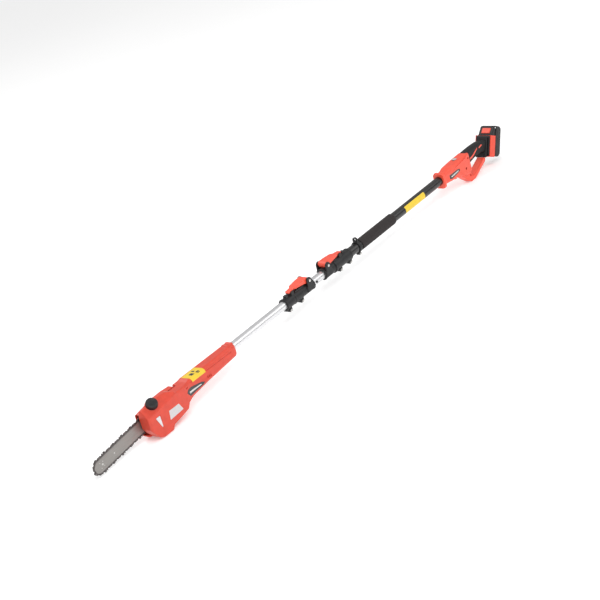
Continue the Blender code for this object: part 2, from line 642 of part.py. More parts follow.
def build_coupling():
    pin_u, facing = COUPLING_PIN_U, -1
    body = clamp_shape("coupling_body", pin_u, facing,
                       ((COUPLING_U[0], 0.325, 0.0188), (0.320, COUPLING_U[1], 0.0183)), COUPLING_LUGS)
    join(body, build_hook("coupling_hook", pin_u, facing))
    finish_clamp(body, pin_u, facing, ((0.20, 0.3190, TUBE_R + GAP), (0.3210, 0.45, TUBE_R + GAP),
                                       (0.30, 0.34, 0.0125)), POLE_SLIDE_FRAME, COUPLING_LUGS)
    build_lever("coupling_lever", pin_u, facing, COUPLING_LEVER_FRAME)


def build_clamp():
    pin_u, facing = CLAMP_PIN_U, 1
    body = clamp_shape("clamp_body", pin_u, facing,
                       ((CLAMP_U[0], 0.512, 0.0188), (0.502, CLAMP_U[1], 0.0200)), CLAMP_LUGS)
    join(body, build_hook("clamp_hook", pin_u, facing),
         cone("clamp_rib", "X", (0.4980, 0.0, 0.0), 0.005, 0.0222))
    finish_clamp(body, pin_u, facing, ((0.40, 0.5270, TUBE_R + GAP + 0.0013),
                                       (0.5250, 0.66, REAR_TUBE_R + GAP)), POLE_FRAME, CLAMP_LUGS)
    build_lever("clamp_lever", pin_u, facing, CLAMP_LEVER_FRAME)
    bush = pipe("clamp_bush", "X", (CLAMP_U[0] + 0.002, 0.0, 0.0), 0.070, 0.0153, 0.0143)
    place(bush, POLE_FRAME, "soft_black")


def build_ring_and_grip():
    ring = cone("strap_ring", "X", (RING_U - 0.006, 0.0, 0.0), 0.012, 0.0195)
    eye = [(0.0030, 0.0340), (0.0080, 0.0310), (0.0095, 0.0265), (0.0095, 0.0150)]
    join(ring, outline("ring_eye", mirrored(eye), RING_U - 0.003, RING_U + 0.003, "YZ"),
         block("ring_lug", (RING_U - 0.005, -0.0065, -0.0275), (RING_U + 0.005, 0.0065, -0.0170)))
    cut(ring, cone("ring_bore", "X", (RING_U - 0.02, 0.0, 0.0), 0.04, REAR_TUBE_R + GAP),
        cone("eye_hole", "X", (RING_U - 0.02, 0.0, 0.0265), 0.04, 0.0042, segments=20),
        block("ring_split", (RING_U - 0.02, -0.0010, -0.04), (RING_U + 0.02, 0.0010, -0.010)),
        cone("ring_bolt_hole", "Y", (RING_U, -0.03, -0.0232), 0.06, 0.0024, segments=12))
    place(ring, POLE_FRAME, "black_plastic")
    bolt = cone("ring_bolt", "Y", (RING_U, -0.0085, -0.0232), 0.0170, 0.0020, segments=12)
    join(bolt, cone("ring_bolt_head", "Y", (RING_U, -0.0105, -0.0232), 0.0034, 0.0040, segments=12),
         cone("ring_bolt_nut", "Y", (RING_U, 0.0070, -0.0232), 0.0034, 0.0040, segments=6))
    place(bolt, POLE_FRAME, "steel")
    foam = turned("foam_grip", "X", (GRIP_U[0], 0.0, 0.0),
                  [(REAR_TUBE_R + GAP, 0.0), (REAR_TUBE_R + GAP, GRIP_U[1] - GRIP_U[0]),
                   (GRIP_R - 0.0015, GRIP_U[1] - GRIP_U[0]), (GRIP_R, GRIP_U[1] - GRIP_U[0] - 0.0015),
                   (GRIP_R, 0.0015), (GRIP_R - 0.0015, 0.0)])
    place(foam, POLE_FRAME, "foam")


def build_leads():
    """The lead inside the pole: head stretch, socket and plug at the coupling, curly stretch."""
    socket = turned("lead_socket", "X", (0.290, 0.0, 0.0),
                    [(0.0045, 0.0), (0.0045, 0.0275), (0.0122, 0.0275), (0.0122, 0.0)], 20)
    place(socket, HEAD_FRAME, "black_plastic")
    head_lead = pipe("head_lead", "X", (-0.165, 0.0, -0.004), 0.4545, 0.0042, 0.0008, 12)
    place(head_lead, HEAD_FRAME, "soft_black")
    plug = cone("lead_plug", "X", (0.3225, 0.0, 0.0), 0.0300, 0.0122, segments=20)
    join(plug, cone("plug_tip", "X", (0.2990, 0.0, 0.0), 0.0245, 0.0042, segments=16))
    place(plug, POLE_SLIDE_FRAME, "black_plastic")
    curly = cone("curly_lead", "X", (0.4400, 0.0, 0.0), 0.780, 0.0085, segments=12)
    join(curly, cone("curly_tail", "X", (0.3528, 0.0, 0.0), 0.0900, 0.0030, segments=12))
    place(curly, POLE_SLIDE_FRAME, "soft_black")


build_tubes()
build_coupling()
build_clamp()
build_ring_and_grip()
build_leads()


# --- rear handle --------------------------------------------------------------------------------
def even(u, half_width, z_low, z_high, radius):
    """A section with equal half widths to the left and right."""
    return (u, -half_width, half_width, z_low, z_high, radius)


HOUSING_SECTIONS = [
    even(1.1330, 0.0220, -0.0290, 0.0265, 0.0120),
    even(1.1420, 0.0228, -0.0300, 0.0280, 0.0120),
    even(1.1460, 0.0195, -0.0205, 0.0200, 0.0105),
    even(1.1650, 0.0195, -0.0220, 0.0215, 0.0105),
    even(1.1850, 0.0212, -0.0245, 0.0270, 0.0105),
    even(1.2300, 0.0222, -0.0280, 0.0290, 0.0105),
    even(1.2500, 0.0222, -0.0370, 0.0295, 0.0100),
    even(1.2700, 0.0218, -0.0440, 0.0295, 0.0095),
    even(1.2950, 0.0205, -0.0450, 0.0300, 0.0085),
    even(1.3060, 0.0190, -0.0410, 0.0290, 0.0080),
]
HOUSING_WALL = 0.0028
GRIP_SECTIONS = [
    even(1.2900, 0.0170, -0.0200, 0.0300, 0.0080),
    even(1.3220, 0.0165, -0.0105, 0.0320, 0.0090),
    even(1.3520, 0.0160, -0.0080, 0.0325, 0.0090),
    even(1.3900, 0.0170, -0.0090, 0.0300, 0.0090),
    even(1.4320, 0.0185, -0.0260, 0.0220, 0.0090),
]
OVERMOULD = 0.0020
LOOP_HALF = 0.0155
DOCK_FACE = -0.0075
DOCK_LOW = -0.0450
TRIGGER_AXIS = (1.3125, -0.0020)
LOCK_U = 1.2440
LOCK_Z = 0.0298               # underside of the lock-off button's pad
LATCH_POINT = (0.0203, 0.0, 0.0510)
LATCH_LEAN = math.atan2(0.0125, 0.0300)

TRIGGER_FRAME = pivot("trigger_frame", TRIGGER_AXIS[0], 0.0, TRIGGER_AXIS[1])
LOCK_FRAME = pivot("lock_off_frame", LOCK_U, 0.0, LOCK_Z)
BATTERY_FRAME = make_frame("battery_frame", (0.0, 0.0, 0.0), DOCK_FRAME)
LATCH_FRAME = make_frame("battery_latch_frame", LATCH_POINT, DOCK_FRAME, (0.0, LATCH_LEAN, 0.0))


def in_dock(target):
    """Move a shape given in the battery's tilted frame into pole coordinates."""
    target.matrix_basis = DOCK_FRAME.matrix_basis @ target.matrix_basis
    return target


def on_latch(target):
    """Move a shape given on the latch's slanted face into the battery's frame."""
    target.matrix_basis = LATCH_FRAME.matrix_basis @ target.matrix_basis
    return target


def build_handle_shells():
    loop_side = [(1.2480, -0.0300), (1.2480, -0.0380), (1.2740, -0.0620), (1.2940, -AXIS_HEIGHT),
                 (1.3180, -AXIS_HEIGHT), (1.4100, -0.0402), (1.4100, -0.0245), (1.3200, -0.0630),
                 (1.3060, -0.0590), (1.3000, -0.0440), (1.3000, -0.0300)]
    for name, side in (("handle_shell_left", -1), ("handle_shell_right", 1)):
        shell = loft(name, HOUSING_SECTIONS)
        core = loft(name + "_grip", shrink(GRIP_SECTIONS, OVERMOULD + GAP))
        join(shell, core, soften(outline(name + "_loop", loop_side, -LOOP_HALF, LOOP_HALF), 0.0015, 1))
        hollow = loft(name + "_hollow", shrink(HOUSING_SECTIONS[4:], HOUSING_WALL))
        cut(shell, hollow,
            cone(name + "_tube_bore", "X", (1.1000, 0.0, 0.0), 0.1625, REAR_TUBE_R + GAP),
            block(name + "_channel", (1.2850, -0.0095, -0.0060), (1.3800, 0.0095, 0.0190)),
            block(name + "_trigger_slot", (1.3045, -0.0066, -0.0300), (1.3760, 0.0066, 0.0000)),
            block(name + "_lock_slot", (LOCK_U - 0.0092, -0.0033, 0.0200),
                  (LOCK_U + 0.0034, 0.0033, 0.0400)),
            cone(name + "_trigger_pin_hole", "Y", (TRIGGER_AXIS[0], -0.0125, TRIGGER_AXIS[1]), 0.0250,
                 0.0018, segments=12),
            in_dock(block(name + "_dock_space", (DOCK_FACE - GAP, -0.06, DOCK_LOW - GAP),
                          (0.06, 0.06, 0.08))),
            in_dock(block(name + "_battery_space", (-GAP, -0.06, -0.08), (0.06, 0.06, 0.0))))
        outer = side * 0.1
        inner = side * GAP / 2.0
        keep(shell, block(name + "_side", (1.05, min(inner, outer), -0.12),
                          (1.50, max(inner, outer), 0.12)))
        place(shell, POLE_FRAME, "orange_plastic")


def build_grip_pieces():
    overmould = loft("grip_overmould", GRIP_SECTIONS)
    cut(overmould, loft("overmould_inside", shrink(GRIP_SECTIONS, OVERMOULD)),
        in_dock(block("overmould_end", (DOCK_FACE - GAP, -0.06, -0.08), (0.06, 0.06, 0.08))))
    keep(overmould, outline("overmould_reach", [(1.3120, 0.0060), (1.3080, 0.0500), (1.4600, 0.0500),
                                                (1.4600, 0.0010), (1.4000, 0.0030)], -0.04, 0.04))
    place(overmould, POLE_FRAME, "soft_black")

    trigger = outline("trigger", [(1.3066, -0.0060), (1.3090, 0.0010), (1.3160, 0.0020),
                                  (1.3690, -0.0040), (1.3725, -0.0075), (1.3690, -0.0105),
                                  (1.3450, -0.0135), (1.3200, -0.0180), (1.3120, -0.0200),
                                  (1.3072, -0.0170)], -0.0062, 0.0062)
    soften(trigger, 0.0012)
    cut(trigger, cone("trigger_bore", "Y", (TRIGGER_AXIS[0], -0.03, TRIGGER_AXIS[1]), 0.06, 0.0018,
                      segments=12))
    place(trigger, TRIGGER_FRAME, "black_plastic")
    pin = cone("trigger_pin", "Y", (TRIGGER_AXIS[0], -0.0120, TRIGGER_AXIS[1]), 0.0240, 0.0015,
               segments=12)
    place(pin, POLE_FRAME, "steel")
    spring = pipe("trigger_spring", "Y", (TRIGGER_AXIS[0], 0.0066, TRIGGER_AXIS[1]), 0.0024, 0.0034,
                  0.0020, 16)
    place(spring, POLE_FRAME, "steel")
    switch = block("trigger_switch", (1.3180, -0.0075, 0.0060), (1.3460, 0.0075, 0.0185))
    place(switch, POLE_FRAME, "black_plastic")

    lock = block("lock_off_button", (LOCK_U - 0.0070, -0.0075, LOCK_Z),
                 (LOCK_U + 0.0070, 0.0075, LOCK_Z + 0.0028))
    soften(lock, 0.0009)
    join(lock, block("lock_stem", (LOCK_U - 0.0030, -0.0030, LOCK_Z - 0.0055),
                     (LOCK_U + 0.0030, 0.0030, LOCK_Z + 0.0010)))
    place(lock, LOCK_FRAME, "black_plastic")


def build_dock_and_battery():
    dock = block("battery_dock", (DOCK_FACE, -0.0225, DOCK_LOW), (-GAP, 0.0225, 0.0300))
    soften(dock, 0.0025, 2)
    place(dock, DOCK_FRAME, "black_plastic")
    terminal = block("terminal_block", (0.0002, -0.0140, -0.0180), (0.0080, 0.0140, 0.0160))
    place(terminal, DOCK_FRAME, "brass")

    base = outline("battery_base", [(0.0003, -0.0360), (0.0003, 0.0300), (0.0140, 0.0360),
                                    (0.0265, 0.0660), (0.0345, 0.0695), (0.0345, -0.0395),
                                    (0.0040, -0.0395)], -0.0300, 0.0300)
    soften(base, 0.0030)
    cut(base, block("base_hollow", (0.0120, -0.0275, -0.0370), (0.0600, 0.0275, 0.0300)),
        block("terminal_recess", (-0.0100, -0.0160, -0.0600), (0.0100, 0.0160, 0.0200)),
        on_latch(block("latch_recess", (-0.0100, -0.0180, -0.0108), (0.0064, 0.0180, 0.0108))))
    place(base, BATTERY_FRAME, "black_plastic")
    cover = outline("battery_cover", [(0.0350, -0.0400), (0.0350, 0.0700), (BATTERY_DEPTH - 0.0070, 0.0685),
                                      (BATTERY_DEPTH, 0.0610), (BATTERY_DEPTH, -0.0290),
                                      (BATTERY_DEPTH - 0.0100, -0.0400)], -BATTERY_HALF, BATTERY_HALF)
    soften(cover, 0.0040, 2)
    cut(cover, block("cover_hollow_space", (0.0200, -0.0295, -0.0375),
                     (BATTERY_DEPTH - 0.0025, 0.0295, 0.0660)))
    place(cover, BATTERY_FRAME, "black_plastic")
    side = [(-BATTERY_HALF - 0.0005, 0.0340), (-BATTERY_HALF - 0.0005, -0.0390), (-0.0295, -0.0420)]
    inner = [(-0.0303, 0.0340), (-0.0303, -0.0398)]
    band = outline("battery_band", side + [(-y, z) for y, z in reversed(side)] +
                   [(-y, z) for y, z in inner] + list(reversed(inner)), 0.0030, 0.0342, "YZ")
    cut(band, block("band_recess", (-0.0100, -0.0160, -0.0600), (0.0100, 0.0160, -0.0300)))
    place(band, BATTERY_FRAME, "orange_plastic")
    cells = block("cell_block", (0.0125, -0.0270, -0.0365), (0.0660, 0.0270, 0.0290))
    place(cells, BATTERY_FRAME, "steel")
    latch = on_latch(block("battery_latch", (-0.0020, -0.0176, -0.0104), (0.0044, 0.0176, 0.0104)))
    soften(latch, 0.0012)
    place(latch, LATCH_FRAME, "orange_plastic")


build_handle_shells()
build_grip_pieces()
build_dock_and_battery()
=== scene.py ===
"""Telescoping battery pole saw: detailed pieces, finishes, floor, light and camera round the CAD frame.

Positions along the pole are given as (u, y, z): u runs from the saw's tip to the battery and is
zero at the rear end of the saw head, y is positive on the tool's right, z is up from the pole's axis.
"""
import json
import math

import bmesh
import bpy
from mathutils import Matrix, Vector
from mathutils.bvhtree import BVHTree


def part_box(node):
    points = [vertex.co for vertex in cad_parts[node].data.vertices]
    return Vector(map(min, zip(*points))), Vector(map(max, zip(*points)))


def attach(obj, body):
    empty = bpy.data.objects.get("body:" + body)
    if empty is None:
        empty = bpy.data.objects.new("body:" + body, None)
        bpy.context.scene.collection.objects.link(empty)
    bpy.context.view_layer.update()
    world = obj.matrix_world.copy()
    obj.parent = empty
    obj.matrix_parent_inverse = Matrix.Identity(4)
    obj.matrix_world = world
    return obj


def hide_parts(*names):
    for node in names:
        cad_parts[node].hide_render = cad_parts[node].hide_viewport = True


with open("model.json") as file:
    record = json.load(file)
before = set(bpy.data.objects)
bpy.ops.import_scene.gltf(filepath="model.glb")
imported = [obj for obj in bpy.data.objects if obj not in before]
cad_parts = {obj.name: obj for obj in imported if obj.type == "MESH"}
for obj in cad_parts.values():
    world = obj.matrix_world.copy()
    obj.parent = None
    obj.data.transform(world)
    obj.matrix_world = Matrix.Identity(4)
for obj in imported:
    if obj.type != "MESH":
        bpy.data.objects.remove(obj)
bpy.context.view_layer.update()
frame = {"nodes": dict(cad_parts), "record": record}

TUBE_LOW, TUBE_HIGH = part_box("front_tube")
TUBE_R = (TUBE_HIGH.z - TUBE_LOW.z) / 2.0
POLE_ORIGIN = Vector((TUBE_LOW.x + 0.125, 0.0, (TUBE_LOW.z + TUBE_HIGH.z) / 2.0))
POLE = Matrix.Translation(POLE_ORIGIN)
DOCK = POLE @ Matrix.Translation((1.421, 0.0, 0.0055)) @ Matrix.Rotation(math.radians(27.0), 4, "Y")
CAP_POINT = Vector((-0.385, -0.012, 0.0235))
DECK_NORMAL = Vector((-0.114, -0.65, 1.0)).normalized()
DECK = POLE @ Matrix.Translation(CAP_POINT) @ \
    Vector((0.0, 0.0, 1.0)).rotation_difference(DECK_NORMAL).to_matrix().to_4x4()
FLOOR_Z = -POLE_ORIGIN.z          # level of the surface, in pole coordinates
WORLD = Matrix.Identity(4)
TUBE_GAP = 0.0003                 # round a tube that is held
SPLIT_GAP = 0.00015               # from the middle plane to each moulded half
LEFT_START = 0.07                 # decals on the left side start this far out
INLAY_LIFT = 0.0006               # a film that lies on another film


def u_range(node):
    """A node's first and last place along the pole."""
    low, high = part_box(node)
    return low.x - POLE_ORIGIN.x, high.x - POLE_ORIGIN.x


# --- materials ----------------------------------------------------------------------------------
def add(tree, kind, **values):
    node = tree.nodes.new(kind)
    for key, value in values.items():
        if key in node.inputs:
            node.inputs[key].default_value = value
        else:
            setattr(node, key, value)
    return node


def noise(tree, scale, stretch=(1.0, 1.0, 1.0), detail=3.0):
    """Noise over the piece's own coordinates, in metres; scale is in cells per metre."""
    place = add(tree, "ShaderNodeTexCoord")
    mapping = add(tree, "ShaderNodeMapping")
    mapping.inputs["Scale"].default_value = stretch
    texture = add(tree, "ShaderNodeTexNoise", Scale=scale, Detail=detail)
    tree.links.new(place.outputs["Object"], mapping.inputs["Vector"])
    tree.links.new(mapping.outputs["Vector"], texture.inputs["Vector"])
    return texture.outputs["Fac"]


def ramp(tree, source, stops):
    """A colour ramp with (place, colour) stops; a colour may be one number."""
    node = add(tree, "ShaderNodeValToRGB")
    elements = node.color_ramp.elements
    while len(elements) < len(stops):
        elements.new(0.5)
    for element, (place, colour) in zip(elements, stops):
        element.position = place
        if isinstance(colour, float):
            colour = (colour, colour, colour)
        element.color = (*colour, 1.0)
    tree.links.new(source, node.inputs["Fac"])
    return node.outputs["Color"]


def finish_of(name, colour, rough, metallic=0.0, vary=0.06, vary_scale=60.0, stretch=(1.0, 1.0, 1.0),
              grain_scale=2500.0, grain=0.08, grain_depth=0.00005, rough_vary=0.06, wear=0.25,
              coat=0.0, coat_rough=0.15, specular=0.5):
    """A moulded, painted or metal finish: colour drift, uneven gloss, surface grain and worn edges."""
    material = bpy.data.materials.new(name)
    material.use_nodes = True
    tree = material.node_tree
    shader = tree.nodes["Principled BSDF"]
    shader.inputs["Metallic"].default_value = metallic
    shader.inputs["Coat Weight"].default_value = coat
    shader.inputs["Coat Roughness"].default_value = coat_rough
    shader.inputs["Specular IOR Level"].default_value = specular
    dark = tuple(c * (1.0 - vary) for c in colour)
    light = tuple(min(1.0, c * (1.0 + vary)) for c in colour)
    drift = ramp(tree, noise(tree, vary_scale, stretch), [(0.3, dark), (0.7, light)])
    edge = add(tree, "ShaderNodeNewGeometry").outputs["Pointiness"]
    worn = ramp(tree, edge, [(0.52, 0.0), (0.6, wear)])
    mixed = add(tree, "ShaderNodeMix", data_type="RGBA")
    tree.links.new(worn, mixed.inputs["Factor"])
    tree.links.new(drift, mixed.inputs["A"])
    mixed.inputs["B"].default_value = (*(min(1.0, c * 1.25 + 0.015) for c in colour), 1.0)
    tree.links.new(mixed.outputs["Result"], shader.inputs["Base Color"])
    gloss = ramp(tree, noise(tree, vary_scale * 4.0, stretch),
                 [(0.3, max(0.02, rough - rough_vary)), (0.7, min(1.0, rough + rough_vary))])
    tree.links.new(gloss, shader.inputs["Roughness"])
    bump = add(tree, "ShaderNodeBump", Strength=grain, Distance=grain_depth)
    tree.links.new(noise(tree, grain_scale, stretch, 2.0), bump.inputs["Height"])
    tree.links.new(bump.outputs["Normal"], shader.inputs["Normal"])
    return material


FINISH = {
    "orange_plastic": finish_of("moulded_orange", (0.66, 0.052, 0.024), 0.42, grain_scale=1800.0,
                                grain=0.18, grain_depth=0.0001, coat=0.1, coat_rough=0.3),
    "lever_orange": finish_of("lever_orange", (0.88, 0.088, 0.046), 0.38, coat=0.05, coat_rough=0.3),
    "battery_orange": finish_of("battery_orange", (0.8, 0.055, 0.018), 0.4),
    "black_plastic": finish_of("moulded_black", (0.016, 0.016, 0.017), 0.42, vary=0.15, specular=0.35,
                               grain_scale=1500.0, grain=0.2, grain_depth=0.0001),
    "grey_plastic": finish_of("moulded_grey", (0.5, 0.49, 0.48), 0.38),
    "soft_black": finish_of("grip_rubber", (0.018, 0.017, 0.018), 0.65, vary=0.12, grain_scale=1100.0,
                            grain=0.45, grain_depth=0.0003, specular=0.3),
    "foam": finish_of("foam_rubber", (0.036, 0.031, 0.031), 0.88, vary=0.22, vary_scale=420.0,
                      grain_scale=700.0, grain=0.65, grain_depth=0.0006, wear=0.1, specular=0.3),
    "aluminium": finish_of("drawn_aluminium", (0.74, 0.74, 0.75), 0.34, 1.0, vary=0.05,
                           vary_scale=260.0, stretch=(0.02, 1.0, 1.0), grain_scale=2200.0, grain=0.1,
                           grain_depth=0.00004, wear=0.0),
    "black_tube": finish_of("coated_tube", (0.01, 0.0095, 0.0095), 0.24, vary=0.1,
                            stretch=(0.15, 1.0, 1.0), coat=0.12, coat_rough=0.12, grain=0.05),
    "steel": finish_of("zinc_steel", (0.56, 0.55, 0.53), 0.32, 1.0, vary=0.12, vary_scale=500.0),
    "bar_steel": finish_of("ground_steel", (0.3, 0.285, 0.27), 0.42, 0.85, vary=0.1,
                           vary_scale=900.0, stretch=(0.04, 1.0, 1.0), grain_scale=2600.0, grain=0.2,
                           grain_depth=0.00006),
    "chain_steel": finish_of("oiled_chain_steel", (0.105, 0.095, 0.092), 0.34, 0.9, vary=0.35,
                             vary_scale=700.0, wear=0.6),
    "winding": finish_of("varnished_copper", (0.5, 0.19, 0.07), 0.32, 0.9, vary=0.25,
                         vary_scale=900.0, grain_scale=900.0, grain=0.5, grain_depth=0.0004),
    "clear_plastic": finish_of("frosted_plastic", (0.66, 0.66, 0.67), 0.24, vary=0.05, coat=0.3),
    "brass": finish_of("brass", (0.66, 0.47, 0.18), 0.28, 1.0, vary=0.1, vary_scale=500.0),
}
CUTTER_STEEL = finish_of("plated_cutter_steel", (0.42, 0.41, 0.4), 0.24, 1.0, vary=0.2,
                         vary_scale=700.0)
BADGE = finish_of("badge_black", (0.016, 0.016, 0.017), 0.28, vary=0.1, grain=0.02, coat=0.4)
INLAY = finish_of("badge_inlay", (0.62, 0.62, 0.61), 0.35, vary=0.04, grain=0.02)
SILVER_LABEL = finish_of("satin_foil_label", (0.6, 0.6, 0.605), 0.36, 0.35, vary=0.05,
                         vary_scale=180.0, grain=0.03)
YELLOW_LABEL = finish_of("yellow_film_label", (0.8, 0.56, 0.03), 0.42, vary=0.04, grain=0.03)


# --- shape helpers ------------------------------------------------------------------------------
def built(name, shape, at=POLE):
    """An object from a bmesh given in the frame `at`."""
    bmesh.ops.transform(shape, matrix=at, verts=shape.verts)
    bmesh.ops.recalc_face_normals(shape, faces=shape.faces)
    mesh = bpy.data.meshes.new(name)
    shape.to_mesh(mesh)
    shape.free()
    made = bpy.data.objects.new(name, mesh)
    bpy.context.scene.collection.objects.link(made)
    return made


def drop(*objects):
    for target in objects:
        mesh = target.data
        bpy.data.objects.remove(target, do_unlink=True)
        if mesh.users == 0:
            bpy.data.meshes.remove(mesh)


def settle(target):
    """Turn an object's modifiers into its mesh."""
    bpy.context.view_layer.update()
    evaluated = target.evaluated_get(bpy.context.evaluated_depsgraph_get())
    mesh = bpy.data.meshes.new_from_object(evaluated)
    old = target.data
    target.modifiers.clear()
    target.data = mesh
    mesh.name = target.name
    bpy.data.meshes.remove(old)
    return target


def block(low, high, at=POLE, name="block"):
    shape = bmesh.new()
    size, middle = Vector(high) - Vector(low), (Vector(high) + Vector(low)) / 2.0
    bmesh.ops.create_cube(shape, size=1.0, matrix=Matrix.Translation(middle) @
                          Matrix.Diagonal((*size, 1.0)))
    return built(name, shape, at)


def hexa(corners, at=POLE, name="hexa"):
    """A solid from four corners of one end and the matching four of the other."""
    shape = bmesh.new()
    verts = [shape.verts.new(corner) for corner in corners]
    for face in ((0, 1, 2, 3), (7, 6, 5, 4), (0, 4, 5, 1), (1, 5, 6, 2), (2, 6, 7, 3), (3, 7, 4, 0)):
        shape.faces.new([verts[index] for index in face])
    return built(name, shape, at)


def prism(points, low, high, plane="XZ", at=POLE, name="prism"):
    """A flat outline with a thickness across its plane."""
    shape = bmesh.new()

    def corner(a, b, depth):
        return {"XZ": (a, depth, b), "XY": (a, b, depth), "YZ": (depth, a, b)}[plane]
    near = [shape.verts.new(corner(a, b, low)) for a, b in points]
    far = [shape.verts.new(corner(a, b, high)) for a, b in points]
    shape.faces.new(near)
    shape.faces.new(list(reversed(far)))
    for index in range(len(points)):
        after = (index + 1) % len(points)
        shape.faces.new((near[after], near[index], far[index], far[after]))
    return built(name, shape, at)


def span(sign, near, far, origin=0.0):
    """Two signed distances from a place, the lower one first."""
    return sorted((origin + sign * near, origin + sign * far))


AXES = {"X": Matrix.Rotation(math.pi / 2.0, 4, "Y"), "Y": Matrix.Rotation(-math.pi / 2.0, 4, "X"),
        "Z": Matrix.Identity(4)}


def lathe(profile, axis="Z", start=(0.0, 0.0, 0.0), steps=64, at=POLE, name="lathe", ribs=None,
          closed=True):
    """A (radius, height) profile turned about an axis. ribs is (first ring, last ring, count, depth)."""
    shape = bmesh.new()
    rings = []
    for index, (radius, height) in enumerate(profile):
        if radius < 1e-7:
            rings.append([shape.verts.new((0.0, 0.0, height))] * steps)
            continue
        ring = []
        for step in range(steps):
            angle = 2.0 * math.pi * step / steps
            r = radius
            if ribs and ribs[0] <= index <= ribs[1]:
                r -= ribs[3] * (0.5 - 0.5 * math.cos(ribs[2] * angle)) ** 0.6
            ring.append(shape.verts.new((r * math.cos(angle), r * math.sin(angle), height)))
        rings.append(ring)
    pairs = list(zip(rings, rings[1:] + rings[:1])) if closed else list(zip(rings, rings[1:]))
    for first, second in pairs:
        for step in range(steps):
            after = (step + 1) % steps
            corners = []
            for vert in (first[step], first[after], second[after], second[step]):
                if vert not in corners:
                    corners.append(vert)
            if len(corners) > 2:
                shape.faces.new(corners)
    return built(name, shape, at @ Matrix.Translation(start) @ AXES[axis])


def rod(axis, start, length, radius, end_radius=None, steps=48, at=POLE, name="rod"):
    end = radius if end_radius is None else end_radius
    return lathe([(0.0, 0.0), (radius, 0.0), (end, length), (0.0, length)], axis, start, steps, at, name,
                 closed=False)


def ring(axis, start, length, outer, inner, steps=64, at=POLE, name="ring", chamfer=0.0):
    c = chamfer
    profile = [(inner, 0.0), (inner, length), (outer - c, length), (outer, length - c), (outer, c),
               (outer - c, 0.0)] if c else [(inner, 0.0), (inner, length), (outer, length), (outer, 0.0)]
    return lathe(profile, axis, start, steps, at, name)


def rounded(section, steps):
    """The points round one loft section."""
    u, y_low, y_high, z_low, z_high, radius = section
    corners = [(y_high - radius, z_high - radius, 0.0), (y_low + radius, z_high - radius, 90.0),
               (y_low + radius, z_low + radius, 180.0), (y_high - radius, z_low + radius, 270.0)]
    points = []
    for y, z, first in corners:
        for step in range(steps + 1):
            angle = math.radians(first + 90.0 * step / steps)
            points.append(Vector((u, y + radius * math.cos(angle), z + radius * math.sin(angle))))
    return points


def loft(sections, steps=8, at=POLE, name="loft"):
    """A closed skin over rounded rectangles: (u, y low, y high, z low, z high, corner radius)."""
    shape = bmesh.new()
    rings = [[shape.verts.new(point) for point in rounded(section, steps)] for section in sections]
    for front, rear in zip(rings, rings[1:]):
        for index in range(len(front)):
            after = (index + 1) % len(front)
            shape.faces.new((front[index], front[after], rear[after], rear[index]))
    shape.faces.new(rings[0])
    shape.faces.new(list(reversed(rings[-1])))
    return built(name, shape, at)


def shrunk(sections, wall):
    """Loft sections moved inward by a wall's thickness."""
    inner = [[u, a + wall, b - wall, c + wall, d - wall, max(r - wall, 0.001)]
             for u, a, b, c, d, r in sections]
    inner[0][0] += wall
    inner[-1][0] -= wall
    return inner


def boolean(target, tools, operation="DIFFERENCE"):
    for tool in tools:
        change = target.modifiers.new("boolean", "BOOLEAN")
        change.operation = operation
        change.object = tool
        change.solver = "MANIFOLD"
        settle(target)
        drop(tool)
    return target


def cut(target, *tools):
    return boolean(target, tools)


def keep(target, tool):
    return boolean(target, [tool], "INTERSECT")


def joined(name, parts):
    """One object with the meshes of several, which go."""
    shape = bmesh.new()
    for part in parts:
        shape.from_mesh(part.data)
    whole = built(name, shape, WORLD)
    drop(*parts)
    return whole


def fuse(name, parts, voxel, smooth=0):
    """Overlapping closed shapes, melted into one skin with soft edges."""
    return melt(joined(name, parts), voxel, smooth)


def bevel(target, width):
    """Break a shape's sharp edges with a narrow two-step bevel."""
    edge = target.modifiers.new("edge", "BEVEL")
    edge.width = width
    edge.segments = 2
    edge.limit_method = "ANGLE"
    return settle(target)


def melt(target, voxel, smooth=0):
    """Rebuild a closed shape as an even skin and round its edges."""
    remesh = target.modifiers.new("remesh", "REMESH")
    remesh.mode = "VOXEL"
    remesh.voxel_size = voxel
    if smooth:
        soft = target.modifiers.new("smooth", "SMOOTH")
        soft.factor = 0.5
        soft.iterations = smooth
    return settle(target)


def from_node(node, name=None):
    """A new object with a copy of a CAD node's mesh."""
    made = bpy.data.objects.new(name or node + "_detail", frame["nodes"][node].data.copy())
    bpy.context.scene.collection.objects.link(made)
    shape = bmesh.new()
    shape.from_mesh(made.data)
    bmesh.ops.remove_doubles(shape, verts=shape.verts, dist=1e-6)
    shape.to_mesh(made.data)
    shape.free()
    made.data.materials.clear()
    return made


def copy_of(target, name):
    made = bpy.data.objects.new(name, target.data.copy())
    bpy.context.scene.collection.objects.link(made)
    return made


def finish(target, name, body, slot, nodes=(), material=None, angle=35.0):
    """Name a piece, give it its finish and hang it on its body."""
    target.name = name
    target.data.name = name
    target.data.materials.clear()
    target.data.materials.append(material or FINISH[slot])
    target.data.shade_smooth()
    target.data.set_sharp_from_angle(angle=math.radians(angle))
    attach(target, body)
    if nodes:
        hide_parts(*nodes)
    return target


def soften(node, ending, body, slot, voxel, smooth):
    """A CAD node's own shape with its edges rounded."""
    finish(melt(from_node(node), voxel, smooth), node + "_" + ending, body, slot, [node])


def tree_of(target):
    mesh = target.data
    return BVHTree.FromPolygons([v.co for v in mesh.vertices], [p.vertices for p in mesh.polygons])


